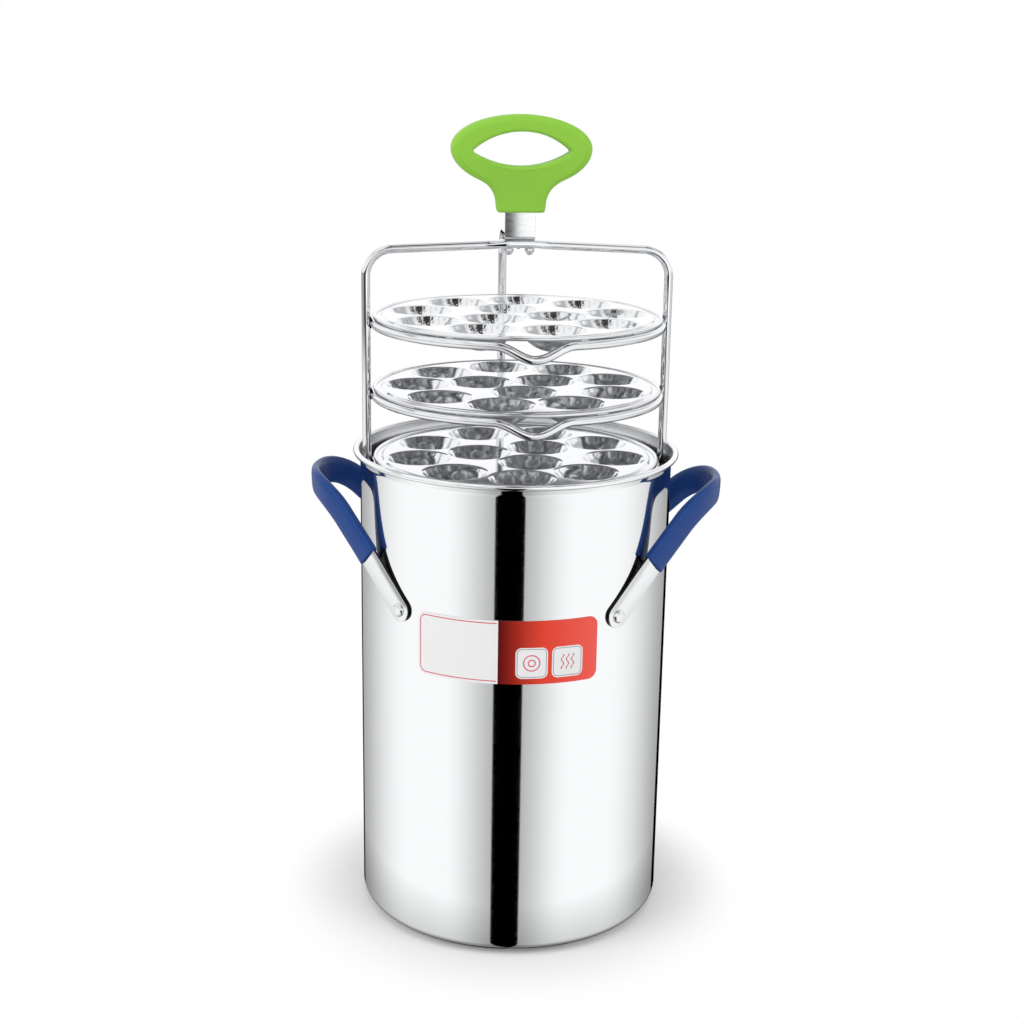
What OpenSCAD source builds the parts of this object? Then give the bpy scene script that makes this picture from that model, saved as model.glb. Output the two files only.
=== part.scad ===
// Stovetop steamer: a tall steel pot with two side handles, and a lift-out rack
// that carries three plates of small cups. The rack is drawn lifted, as in use.
// Z is up, the origin is under the middle of the base, and the side handles are on X.

/* [Pot] */
// Outer diameter of the pot's body
pot_d = 210; // [190:1:240]
// Height of the pot, with its base disc
pot_h = 326; // [300:1:360]
// Thickness of the pot's wall and floor
wall_t = 0.8; // [0.6:0.1:1.4]
// Outer radius of the corner between wall and floor
corner_r = 7; // [4:0.5:12]
// Thickness of the rolled bead on the rim
bead_d = 4; // [3:0.1:5]
// How far the bead stands out past the wall
bead_out = 4.6; // [4:0.1:6]
// Height of the flared band under the bead
flare_h = 6; // [4:0.5:9]
// Thickness of the disc bonded under the floor
disc_t = 2.5; // [1.5:0.1:5]
// Width of floor left bare around the disc
disc_inset = 9; // [8:0.5:20]

/* [Label] */
// Width of the label, seen from the front
label_w = 115; // [80:1:130]
// Height of the label
label_h = 42.5; // [30:0.5:60]
// Thickness of the label
label_t = 0.2; // [0.1:0.05:0.5]
// Thickness of the glue under the label
glue_t = 0.1; // [0.05:0.05:0.2]
// Height of the label's middle above the ground
label_z = 215.5; // [150:0.5:220]
// Radius of the label's corners
label_r = 6; // [2:0.5:12]

/* [Side handles] */
// Width of the steel strap
strap_w = 16; // [12:0.5:20]
// Thickness of the steel strap
strap_t = 2; // [1.5:0.1:3]
// How far the loop stands out from the pot's wall
handle_out = 28.5; // [23:0.5:37]
// Angle from the handle's middle to each rivet
rivet_angle = 48.5; // [44:0.5:52]
// Height of the rivets above the ground
rivet_z = 233.5; // [200:0.5:236]
// Height of the loop's top above its rivets
rise = 67.5; // [62:0.5:72]
// Half length of the level stretch at the loop's top
level = 15; // [8:0.5:20]
// Radius of the loop's shoulders, seen from the side
shoulder_r = 52; // [40:1:60]
// How much the loop leans outwards, in degrees
lean = 3; // [0:0.5:6]
// Height above the rivets where the lean starts
lean_from = 28; // [20:1:35]
// Width of the soft sleeve
sleeve_w = 18.6; // [17:0.1:22]
// Thickness of the soft sleeve
sleeve_t = 6.4; // [5:0.1:8]
// Length of the sleeve along the strap
sleeve_len = 178; // [140:1:190]
// Gap between the strap and the sleeve's bore
sleeve_gap = 0.1; // [0.05:0.05:0.3]
// Diameter of a rivet's shank
rivet_d = 4.5; // [3.5:0.1:5.5]
// Diameter of a rivet's domed head
rivet_head_d = 9; // [8:0.1:11]
// Height of a rivet's domed head
rivet_head_h = 2.2; // [1.5:0.1:3]
// Diameter of a rivet's flat head inside the pot
rivet_foot_d = 8; // [7:0.1:10]
// Thickness of a rivet's flat head inside the pot
rivet_foot_h = 1; // [0.6:0.1:1.2]

/* [Rack] */
// Diameter of the rack's wire
wire_d = 5.8; // [4.5:0.1:6.5]
// Gap between an upright and the pot's wall
rack_gap = 0.8; // [0.5:0.1:4]
// Turn of the rack inside the pot, in degrees
rack_turn = 9; // [-20:1:20]
// Height of the wire feet above the pot's floor, with the rack lifted
lifted = 246.7; // [220:0.1:250]
// Height of the hoop's ends over the feet
hoop_h = 208; // [200:1:240]
// How much the hoop's bar rises to its middle
bar_rise = 3.5; // [1:0.5:6]
// Centreline radius of the bends in the wire
bend_r = 18; // [12:1:26]
// Length of the flattened pad at the bar's middle
pad_len = 34; // [30:1:46]
// Thickness of the flattened pad
pad_t = 5.4; // [4:0.1:6]
// Depth of the flattened pad, front to back
pad_w = 9; // [8:0.5:14]
// How far welded wires sink into one another
weld = 0.4; // [0.2:0.1:1]

/* [Rings and plates] */
// Height of the lowest plate above the feet
first_tier = 68; // [60:1:75]
// Distance from one plate to the next
pitch = 47.5; // [42:0.5:50]
// Width of the dip at the front of each ring
dip_w = 50; // [36:1:60]
// Depth of the dip at the front of each ring
dip_h = 8.5; // [4:0.5:12]
// Gap between a plate's edge and the uprights
plate_gap = 1.5; // [0.8:0.1:3]
// Gap between a plate and the ring under it
seat_gap = 0.3; // [0.2:0.1:0.6]
// Thickness of a plate
plate_t = 0.8; // [0.6:0.1:1.2]
// Thickness of the bead rolled round a plate's edge
edge_d = 2.4; // [2:0.1:3]
// Width of the flat flange that lies on the ring
flange_w = 5.2; // [4:0.2:7]
// Height of the step from the flange up to the cups' field
step_h = 1.4; // [0.8:0.1:2]
// Depth of a cup
cup_h = 13; // [10:0.5:16]
// Cups in the outer circle
outer_cups = 9; // [9:3:12]
// Cups in the inner circle
inner_cups = 3; // [2:1:3]
// Land between the outer cups and the step at the flange
rim_land = 3.4; // [2.5:0.1:6]
// Land between neighbouring cups of the outer circle
cup_land = 3.5; // [2:0.1:6]
// Land between neighbouring cups of the inner circle
inner_land = 1.8; // [1:0.1:4]
// Diameter of a steam hole
steam_d = 2.2; // [1.5:0.1:3]
// Radius of the circle of steam holes in a cup
steam_r = 7; // [5:0.5:10]
// Steam holes around a cup's middle hole
steam_n = 4; // [3:1:6]

/* [Lifting handle] */
// Width of the lifting strap
lift_w = 20; // [18:0.5:24]
// Thickness of the lifting strap
lift_t = 2; // [1.5:0.1:2.5]
// Inside radius of the bend above the strap's foot
lift_bend = 2; // [1:0.1:2.5]
// Distance between the two screws
screw_gap = 13.7; // [11:0.1:14]
// Diameter of a screw's shank
screw_d = 3; // [2.5:0.1:3.5]
// Play around a screw in its holes
screw_play = 0.3; // [0.1:0.1:0.6]
// Diameter of a screw's head
screw_head_d = 5.6; // [5:0.1:6]
// Height of a screw's head
screw_head_h = 2; // [1.5:0.1:3]
// Width of a nut across its flats
nut_af = 5.5; // [5:0.1:7]
// Height of a nut's hexagon
nut_h = 2.4; // [2:0.1:3]
// Height of a nut's dome
dome_h = 2.4; // [1.5:0.1:2.7]
// Height of bare strap between its foot and the grip
bare_h = 16; // [10:0.5:24]
// How far the strap reaches into the grip
strap_in = 24; // [16:1:26]
// Height of the grip
grip_h = 62; // [58:1:70]
// Width of the grip
grip_w = 91; // [80:1:110]
// Thickness of the grip at its neck
neck_t = 11; // [8:0.5:14]
// Width of the grip's neck
neck_w = 31; // [28:0.5:36]
// Height of the grip's straight neck
neck_h = 6; // [5.5:0.5:9]
// Thickness of the grip at its bar
grip_t = 18; // [14:0.5:24]
// Width of the finger hole
hole_w = 64.5; // [50:0.5:66]
// Height of the finger hole's tips above the grip's foot
tip_h = 39; // [37:0.5:41]
// Height of the hole's upper arc over its tips
hole_up = 12.4; // [8:0.1:14]
// Depth of the hole's lower arc under its tips
hole_down = 9.6; // [6:0.1:11]
// How far under the hole's tips the grip reaches its full thickness
swell_drop = 3; // [1:0.5:8]

/* [Hidden] */
$fn = 96;

// Small length that carries a cut past the face that it starts from
past = 1;
// Length of the holes cut for the rivets, across the wall
rivet_bore = 20;
// A welded or bent joint in the wire swells by this much
joint_swell = 0.05;
steel = [0.80, 0.81, 0.83];
bright = [0.87, 0.88, 0.90];

// Pot
pot_r = pot_d / 2;
bore_r = pot_r - wall_t;
floor_z = disc_t + wall_t;
bead_r = bead_d / 2;
bead_z = pot_h - bead_r;
bead_mid = pot_r + bead_out - bead_r;

// Side handles: the loop is a level bend of radius loop_r, with legs that run
// straight on to the rivets and lie flat against the wall there
strap_gap = 0.05;
rivet_play = 0.05;
strap_mid = pot_r + strap_gap + strap_t / 2;
reach = pot_r + handle_out;
loop_r = (strap_mid - reach * cos(rivet_angle)) / (1 - cos(rivet_angle));
loop_x = reach - loop_r;
bend_len = loop_r * rivet_angle * PI / 180;
leg_len = loop_x * sin(rivet_angle);
half_loop = bend_len + leg_len;
// Seen from the side, a leg falls at this angle from the shoulder's tangent point
fall_x = half_loop - level;
fall_y = shoulder_r - rise;
fall_d = norm([fall_x, fall_y]);
leg_slope = atan2(fall_x, fall_y) - acos(shoulder_r / fall_d);
shoulder_len = shoulder_r * leg_slope * PI / 180;
fall_len = sqrt(fall_d * fall_d - shoulder_r * shoulder_r);
rivet_at = level + shoulder_len + fall_len;

// Rack
wire_r = wire_d / 2;
upright_r = bore_r - rack_gap - wire_r;
feet_z = floor_z + lifted;
// The bar leaves its bends at this slope, and its two halves meet at bar_top
bar_z = feet_z + hoop_h;
bar_slope = atan(bar_rise / (upright_r - bend_r));
bar_top = bar_z + bar_rise + bend_r * (1 / cos(bar_slope) - 1);
ring_r = upright_r - wire_d + weld;
plate_r = upright_r - wire_r - plate_gap;
// Turn of each plate on its ring, from the bottom one up
plate_turns = [27, 15, -37];

// Lifting handle
pad_top = bar_top + pad_t / 2;
grip_z = pad_top + lift_t + bare_h;
strap_y = -pad_w / 2 + lift_t / 2;
// The strap's foot ends short of the weld between pad and back leg
foot_len = pad_w - 2 * weld;

// The point on the loop's plan at a distance along it, and its outward direction
function plan_turn(s) = min(abs(s), bend_len) / loop_r * 180 / PI * sign(s);
function plan_past(s) = max(abs(s) - bend_len, 0);
function plan_out(s) = [cos(plan_turn(s)), sin(plan_turn(s)), 0];
function plan_point(s) = [loop_x, 0, 0] + loop_r * plan_out(s)
    + plan_past(s) * sign(s) * [-sin(plan_turn(s)), cos(plan_turn(s)), 0];

// The side view of the loop, unrolled: distance along the plan, and height over
// the rivets, at a length along the strap from the loop's middle
function side_turn(l) = min(max(abs(l) - level, 0), shoulder_len) / shoulder_r * 180 / PI;
function side_past(l) = max(abs(l) - level - shoulder_len, 0);
function side_along(l) = sign(l) * (min(abs(l), level) + shoulder_r * sin(side_turn(l))
    + side_past(l) * cos(side_turn(l)));
function side_up(l) = rise - shoulder_r * (1 - cos(side_turn(l))) - side_past(l) * sin(side_turn(l));

// A point of the loop: l along the strap, a across its width, b through its thickness
function lean_by(up) = max(up - lean_from, 0) * tan(lean);
function loop_point(l, a, b) =
    let (along = side_along(l) + a * sign(l) * sin(side_turn(l)),
        up = side_up(l) + a * cos(side_turn(l)))
    plan_point(along) + b * plan_out(along) + [lean_by(up), 0, rivet_z + up];

// A skin swept along the loop, with one section for each length along it
function loop_skin(lengths, sections) = [for (i = [0 : len(lengths) - 1]) for (q = sections[i])
    loop_point(lengths[i], q[0], q[1])];
// Its faces, for m sections of n points each
function skin_faces(m, n) = [for (i = [0 : m - 2]) for (j = [0 : n - 1])
    let (a = i * n + j, b = i * n + (j + 1) % n)
    each [[a, b, b + n], [a, b + n, a + n]]];

// A solid band along the loop
module loop_band(lengths, sections) {
    n = len(sections[0]);
    m = len(lengths);
    ends = [[for (j = [n - 1 : -1 : 0]) j], [for (j = [0 : n - 1]) (m - 1) * n + j]];
    polyhedron(points = loop_skin(lengths, sections), faces = concat(skin_faces(m, n), ends),
        convexity = 6);
}

// A hollow band along the loop, open at both ends
module loop_tube(lengths, outer, inner) {
    n = len(outer);
    m = len(lengths);
    each_of = [for (i = [1 : m]) i];
    points = concat(loop_skin(lengths, [for (i = each_of) outer]),
        loop_skin(lengths, [for (i = each_of) inner]));
    outside = skin_faces(m, n);
    inside = [for (f = outside) [f[0] + m * n, f[2] + m * n, f[1] + m * n]];
    last = (m - 1) * n;
    ends = [for (j = [0 : n - 1]) let (k = (j + 1) % n)
        each [[k, j, m * n + j, m * n + k], [last + j, last + k, last + m * n + k, last + m * n + j]]];
    polyhedron(points = points, faces = concat(outside, inside, ends), convexity = 8);
}

// Steps in each rounded corner of the sleeve's section
corner_steps = 3;

// Sections of the strap and of the sleeve, as [across, through], clockwise
function flat_section(w, t) = [[-w / 2, -t / 2], [-w / 2, t / 2], [w / 2, t / 2], [w / 2, -t / 2]];
function round_section(w, t, r) = [for (quarter = [0 : 3]) for (k = [0 : corner_steps])
    let (turn = -90 * quarter - k * 90 / corner_steps,
        side = [quarter == 0 || quarter == 3 ? 1 : -1, quarter < 2 ? -1 : 1])
    [side[0] * (w / 2 - r) + r * cos(turn), side[1] * (t / 2 - r) + r * sin(turn)]];

strap_steps = 56;
tip_steps = 6;
// The half circle at the strap's end stops just short of its quarter turn
tip_turn = 84;
// Lengths along the strap: a half circle at each end, round its rivet, and even steps between
function tip_at(k) = rivet_at + strap_w / 2 * sin(k * tip_turn / tip_steps);
function tip_width(k) = strap_w * cos(k * tip_turn / tip_steps);
strap_lengths = concat([for (k = [tip_steps : -1 : 1]) -tip_at(k)],
    [for (i = [0 : strap_steps]) rivet_at * (2 * i / strap_steps - 1)],
    [for (k = [1 : tip_steps]) tip_at(k)]);
strap_widths = concat([for (k = [tip_steps : -1 : 1]) tip_width(k)],
    [for (i = [0 : strap_steps]) strap_w], [for (k = [1 : tip_steps]) tip_width(k)]);

module handle_strap() {
    color(bright) difference() {
        loop_band(strap_lengths, [for (w = strap_widths) flat_section(w, strap_t)]);
        for (side = [-1, 1]) at_rivet(side)
            rivet_hole();
    }
}

// Places its children at a rivet of the right handle, with +Z out of the wall
module at_rivet(side) {
    rotate([0, 0, side * rivet_angle]) translate([pot_r, 0, rivet_z]) rotate([0, 90, 0]) children();
}

module rivet_hole() { cylinder(d = rivet_d + 2 * rivet_play, h = rivet_bore, center = true); }

// The left handle is the right one turned half way round
module left() { rotate([0, 0, 180]) children(); }

sleeve_steps = 44;
sleeve_lengths = [for (i = [0 : sleeve_steps]) sleeve_len * (i / sleeve_steps - 0.5)];
sleeve_round = 0.4 * sleeve_t;

module handle_sleeve() {
    color([0.10, 0.24, 0.52]) loop_tube(sleeve_lengths,
        round_section(sleeve_w, sleeve_t, sleeve_round),
        round_section(strap_w + 2 * sleeve_gap, strap_t + 2 * sleeve_gap, sleeve_gap));
}

module rivet() {
    head_base = strap_gap + strap_t;
    dome_r = (rivet_head_d * rivet_head_d / 4 + rivet_head_h * rivet_head_h) / (2 * rivet_head_h);
    foot_top = -wall_t - 0.1;
    color(bright) {
        translate([0, 0, foot_top - rivet_foot_h / 2])
            cylinder(d = rivet_d, h = head_base - foot_top + rivet_foot_h / 2 + rivet_head_h / 4);
        translate([0, 0, foot_top - rivet_foot_h]) cylinder(d = rivet_foot_d, h = rivet_foot_h);
        intersection() {
            translate([0, 0, head_base]) cylinder(d = rivet_head_d + past, h = rivet_head_h + past);
            translate([0, 0, head_base + rivet_head_h - dome_r]) sphere(r = dome_r);
        }
    }
}

// Half section of the pot: wall, rounded corner and floor, flare and bead
module pot_profile() {
    arc_n = 8;
    corner = [for (k = [0 : arc_n]) let (turn = k * 90 / arc_n)
        [pot_r - corner_r + corner_r * sin(turn), disc_t + corner_r - corner_r * cos(turn)]];
    inner_r = corner_r - wall_t;
    inner = [for (k = [arc_n : -1 : 0]) let (turn = k * 90 / arc_n)
        [pot_r - corner_r + inner_r * sin(turn), disc_t + corner_r - inner_r * cos(turn)]];
    polygon(concat([[0, disc_t]], corner,
        [[pot_r, bead_z - flare_h], [bead_mid, bead_z - bead_r / 2], [bead_mid, bead_z + bead_r / 2],
         [bead_mid - wall_t / 2, bead_z + bead_r / 2], [bore_r, bead_z - flare_h + wall_t / 2]],
        inner, [[0, floor_z]]));
    translate([bead_mid, bead_z]) circle(r = bead_r);
}

module pot_shell() {
    color(steel) difference() {
        rotate_extrude() pot_profile();
        for (side = [-1, 1]) {
            at_rivet(side) rivet_hole();
            left() at_rivet(side) rivet_hole();
        }
    }
}

module base_disc() {
    disc_r = pot_r - disc_inset;
    color([0.62, 0.63, 0.65]) cylinder(r = disc_r, h = disc_t);
}

module label_sticker() {
    inset_w = label_w / 2 - label_r;
    inset_h = label_h / 2 - label_r;
    color("white") intersection() {
        difference() {
            translate([0, 0, label_z])
                cylinder(r = pot_r + glue_t + label_t, h = 2 * label_h, center = true);
            translate([0, 0, label_z]) cylinder(r = pot_r + glue_t, h = 3 * label_h, center = true);
        }
        translate([0, 0, label_z]) rotate([90, 0, 0]) linear_extrude(pot_r + past) {
            square([label_w, 2 * inset_h], center = true);
            square([2 * inset_w, label_h], center = true);
            for (x = [-inset_w, inset_w], y = [-inset_h, inset_h]) translate([x, y]) circle(r = label_r);
        }
    }
}

// Everything on the rack is drawn facing -Y, and turned in the pot by this
module rack_turned() { rotate([0, 0, rack_turn]) children(); }

// A wire from one point to another
module rod(from, to) {
    v = to - from;
    translate(from) rotate([0, acos(v[2] / norm(v)), atan2(v[1], v[0])]) cylinder(d = wire_d, h = norm(v));
}

// An upright with its bend and half of the bar, towards +X, down to the feet
module half_hoop() {
    // The bend's centre is bend_r in from the upright and under the bar
    centre = [upright_r - bend_r, 0, bar_z - bend_r];
    bend_end = centre + bend_r * [sin(bar_slope), 0, cos(bar_slope)];
    translate([upright_r, 0, feet_z]) cylinder(d = wire_d, h = centre[2] - feet_z);
    translate(centre) rotate([90, 0, 0]) rotate_extrude(angle = 90 - bar_slope)
        translate([bend_r, 0]) circle(d = wire_d);
    rod(bend_end, [0, 0, bar_top]);
    translate(bend_end) sphere(r = wire_r + joint_swell);
}

module rack_hoop() {
    color(bright) rack_turned() difference() {
        union() {
            for (side = [0, 180]) rotate([0, 0, side]) half_hoop();
            translate([0, 0, bar_top]) cube([pad_len, pad_w, pad_t], center = true);
        }
        for (x = [-screw_gap / 2, screw_gap / 2]) translate([x, 0, bar_top])
            cylinder(d = screw_d + screw_play, h = pad_t + wire_d, center = true);
        // The wire is pressed flat over the pad's length
        for (side = [-1, 1]) translate([0, 0, bar_top + side * (pad_t / 2 + wire_d)])
            cube([pad_len, 2 * pad_w, 2 * wire_d], center = true);
    }
}

module rack_back_leg() {
    color(bright) rack_turned() rotate([0, 0, 90]) {
        centre = [upright_r - bend_r, 0, bar_top - bend_r];
        translate([upright_r, 0, feet_z]) cylinder(d = wire_d, h = centre[2] - feet_z);
        translate(centre) rotate([90, 0, 0]) rotate_extrude(angle = 90)
            translate([bend_r, 0]) circle(d = wire_d);
        rod([centre[0], 0, bar_top], [pad_w / 2 - weld, 0, bar_top]);
    }
}

function plate_z(tier) = feet_z + first_tier + tier * pitch;
function ring_z(tier) = plate_z(tier) - seat_gap - wire_r;

// How far a ring's wire lies under its level, at an angle from the front
function dip_at(turn) = let (x = ring_r * abs(turn) * PI / 180)
    x < dip_w / 2 ? dip_h * (1 + cos(360 * x / dip_w)) / 2 : 0;
function ring_point(turn) = [ring_r * sin(turn), -ring_r * cos(turn), -dip_at(turn)];

ring_sides = 10;
dip_steps = 24;
ring_steps = 64;
// Half of the dip, as an angle round the ring
dip_turn = dip_w / 2 / ring_r * 180 / PI;
ring_turns = concat([for (i = [0 : dip_steps - 1]) dip_turn * (2 * i / dip_steps - 1)],
    [for (i = [0 : ring_steps - 1]) dip_turn + (360 - 2 * dip_turn) * i / ring_steps]);

module ring(tier) {
    n = ring_sides;
    m = len(ring_turns);
    points = [for (turn = ring_turns)
        let (wrapped = turn > 180 ? turn - 360 : turn,
            out = [sin(turn), -cos(turn), 0],
            ahead = ring_point(wrapped + 0.2) - ring_point(wrapped - 0.2),
            up = cross(out, ahead / norm(ahead)))
        for (k = [0 : n - 1])
            ring_point(wrapped) + wire_r * (cos(k * 360 / n) * out + sin(k * 360 / n) * up)];
    faces = [for (i = [0 : m - 1]) for (k = [0 : n - 1])
        let (a = i * n + k, b = i * n + (k + 1) % n, c = (i + 1) % m * n)
        each [[a, c + (k + 1) % n, b], [a, c + k, c + (k + 1) % n]]];
    color(bright) rack_turned() translate([0, 0, ring_z(tier)])
        polyhedron(points = points, faces = faces, convexity = 8);
}

// The outer cups fill their circle but for the lands between them, which settles their
// diameter, and the inner cups stand as close together as their own land lets them
field_r = plate_r - flange_w;
outer_share = sin(180 / outer_cups);
outer_r = (field_r - rim_land + cup_land / 2) / (1 + outer_share);
cup_d = 2 * outer_r * outer_share - cup_land;
inner_r = (cup_d + inner_land) / (2 * sin(180 / inner_cups));

// Centres of the cups
cup_places = concat(
    [for (i = [0 : outer_cups - 1]) outer_r * [cos(i * 360 / outer_cups), sin(i * 360 / outer_cups)]],
    [for (i = [0 : inner_cups - 1]) let (turn = 180 / outer_cups + i * 360 / inner_cups)
        inner_r * [cos(turn), sin(turn)]]);

// A cup is a slice of a ball, whose mouth is cup_d wide and cup_h deep
ball_r = (cup_d * cup_d / 4 + cup_h * cup_h) / (2 * cup_h);

module plate(tier) {
    field_z = step_h;
    edge_r = edge_d / 2;
    color(bright) rack_turned() translate([0, 0, plate_z(tier)]) rotate([0, 0, plate_turns[tier]])
        difference() {
            union() {
                // Flange on the ring, step, and the field that the cups are pressed in
                rotate_extrude() {
                    polygon([[0, field_z], [field_r - step_h, field_z], [field_r, 0], [plate_r - edge_r, 0],
                        [plate_r - edge_r, plate_t], [field_r + plate_t / 3, plate_t],
                        [field_r - step_h + plate_t / 3, field_z + plate_t], [0, field_z + plate_t]]);
                    translate([plate_r - edge_r, edge_r]) circle(r = edge_r);
                }
                for (at = cup_places) translate([at[0], at[1], field_z + plate_t]) difference() {
                    translate([0, 0, ball_r - cup_h]) sphere(r = ball_r + plate_t);
                    translate([0, 0, 2 * ball_r - plate_t / 2]) cube(4 * ball_r, center = true);
                }
            }
            for (at = cup_places) translate([at[0], at[1], field_z + plate_t]) {
                translate([0, 0, ball_r - cup_h]) sphere(r = ball_r);
                for (k = [0 : steam_n]) translate(k == 0 ? [0, 0] : steam_r * [cos(k * 360 / steam_n),
                    sin(k * 360 / steam_n)]) translate([0, 0, -cup_h - 2 * plate_t])
                    cylinder(d = steam_d, h = cup_h);
            }
        }
}

module lift_strap() {
    color(bright) rack_turned() difference() {
        rotate([90, 0, 90]) linear_extrude(lift_w, center = true) lift_side();
        for (x = [-screw_gap / 2, screw_gap / 2]) translate([x, 0, pad_top])
            cylinder(d = screw_d + screw_play, h = 3 * lift_t, center = true);
    }
}

// The lifting strap seen from its end: a foot, a bend, and the upright part
module lift_side() {
    front = strap_y - lift_t / 2;
    out_r = lift_bend + lift_t;
    centre = [front + out_r, pad_top + out_r];
    turns = [for (k = [0 : bend_steps]) 180 + k * 90 / bend_steps];
    polygon(concat(
        [for (t = turns) centre + out_r * [cos(t), sin(t)]],
        [[front + foot_len, pad_top], [front + foot_len, pad_top + lift_t]],
        [for (k = [bend_steps : -1 : 0]) centre + lift_bend * [cos(turns[k]), sin(turns[k])]],
        [[front + lift_t, grip_z + strap_in], [front, grip_z + strap_in]]));
}
bend_steps = 8;

module screw(x) {
    grip_len = lift_t + pad_t + nut_h + dome_h / 3;
    color(steel) rack_turned() translate([x, 0, pad_top + lift_t]) {
        translate([0, 0, -grip_len]) cylinder(d = screw_d, h = grip_len + screw_head_h / 2);
        cylinder(d = screw_head_d, h = screw_head_h);
    }
}

module dome_nut(x) {
    nut_top = bar_top - pad_t / 2;
    dome_r = (nut_af * nut_af / 4 + dome_h * dome_h) / (2 * dome_h);
    color(steel) rack_turned() translate([x, 0, nut_top]) difference() {
        union() {
            translate([0, 0, -nut_h]) cylinder(d = nut_af / cos(30), h = nut_h, $fn = 6);
            intersection() {
                translate([0, 0, -nut_h - dome_h]) cylinder(d = nut_af, h = dome_h + nut_h / 2);
                translate([0, 0, -nut_h - dome_h + dome_r]) sphere(r = dome_r);
            }
        }
        translate([0, 0, -nut_h - dome_h / 3]) cylinder(d = screw_d, h = nut_h + dome_h);
    }
}

// The grip's outline starts as a neck that widens a little up to flare_foot, and
// flares out there on an arc of radius flare_r
flare_foot = 5;
neck_spread = 0.5;
flare_r = 16;
flare_end = 115;
flare_steps = 8;
// Over the arc it is an oval, whose widest place lies tip_lift over the finger hole's
// tips, and which reaches down by belly
tip_lift = 1.7;
belly = 25;
belly_steps = 10;
crown_steps = 18;
// Half of the outline, as [half width, height]
function grip_side() = let (half_neck = neck_w / 2, half_w = grip_w / 2,
        flare_mid = half_neck + neck_spread + flare_r,
        wide_h = tip_h + tip_lift,
        start = asin((wide_h - flare_foot - flare_r * sin(flare_end)) / belly))
    concat([[half_neck, 0]],
        [for (k = [0 : flare_steps]) let (turn = 180 - k * (180 - flare_end) / flare_steps)
            [flare_mid + flare_r * cos(turn), flare_foot + flare_r * sin(turn)]],
        [for (k = [1 : belly_steps]) let (turn = -start * (1 - k / belly_steps))
            [half_w * cos(turn), wide_h + belly * sin(turn)]],
        [for (k = [1 : crown_steps]) let (turn = k * 90 / crown_steps)
            [half_w * cos(turn), wide_h + (grip_h - wide_h) * sin(turn)]]);

// A circle's radius from its half chord and its height
function arc_r(half, high) = (half * half + high * high) / (2 * high);

module lift_grip() {
    half = grip_side();
    n = len(half);
    up_r = arc_r(hole_w / 2, hole_up);
    down_r = arc_r(hole_w / 2, hole_down);
    color([0.55, 0.77, 0.24]) rack_turned() translate([0, strap_y, grip_z]) difference() {
        intersection() {
            rotate([90, 0, 0]) linear_extrude(grip_t + past, center = true)
                polygon(concat(half, [for (i = [n - 2 : -1 : 0]) [-half[i][0], half[i][1]]]));
            rotate([90, 0, 90]) linear_extrude(grip_w + past, center = true) grip_depth();
        }
        rotate([90, 0, 0]) linear_extrude(2 * grip_t, center = true) intersection() {
            translate([0, tip_h + hole_up - up_r]) circle(r = up_r);
            translate([0, tip_h - hole_down + down_r]) circle(r = down_r);
        }
        translate([0, 0, strap_in / 2])
            cube([lift_w, lift_t, strap_in + past], center = true);
    }
}

// The grip seen from its end: a thin neck that swells to the bar, with a round top
neck_swell = 0.3;
top_steps = 6;
module grip_depth() {
    // The round top leaves a flat of a sixth of the thickness
    top_r = grip_t * 5 / 12;
    half = concat([[neck_t / 2, 0], [neck_t / 2 + neck_swell, neck_h], [grip_t / 2, tip_h - swell_drop]],
        [for (k = [0 : top_steps]) let (turn = k * 90 / top_steps)
            [grip_t / 2 - top_r + top_r * cos(turn), grip_h - top_r + top_r * sin(turn)]]);
    n = len(half);
    polygon(concat(half, [for (i = [n - 1 : -1 : 0]) [-half[i][0], half[i][1]]]));
}

pot_shell();
base_disc();
label_sticker();
left() handle_strap();  // left_handle_strap
handle_strap();  // right_handle_strap
left() handle_sleeve();  // left_handle_sleeve
handle_sleeve();  // right_handle_sleeve
left() at_rivet(1) rivet();  // left_front_rivet
left() at_rivet(-1) rivet();  // left_rear_rivet
at_rivet(-1) rivet();  // right_front_rivet
at_rivet(1) rivet();  // right_rear_rivet
rack_hoop();
rack_back_leg();
ring(2);  // top_ring
ring(1);  // middle_ring
ring(0);  // bottom_ring
plate(2);  // top_plate
plate(1);  // middle_plate
plate(0);  // bottom_plate
lift_strap();
screw(-screw_gap / 2);  // left_screw
screw(screw_gap / 2);  // right_screw
dome_nut(-screw_gap / 2);  // left_dome_nut
dome_nut(screw_gap / 2);  // right_dome_nut
lift_grip();
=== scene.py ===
# Looks of a stovetop steamer: a tall polished pot with two side handles, and a lift-out
# rack that carries three plates of small cups. The sizes are in metres, Z is up, and the
# origin is under the middle of the pot's base.

import math

import bmesh
import bpy
from bpy.props import FloatProperty, FloatVectorProperty, IntProperty, PointerProperty
from mathutils import Matrix, Vector
from mathutils.geometry import delaunay_2d_cdt


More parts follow.
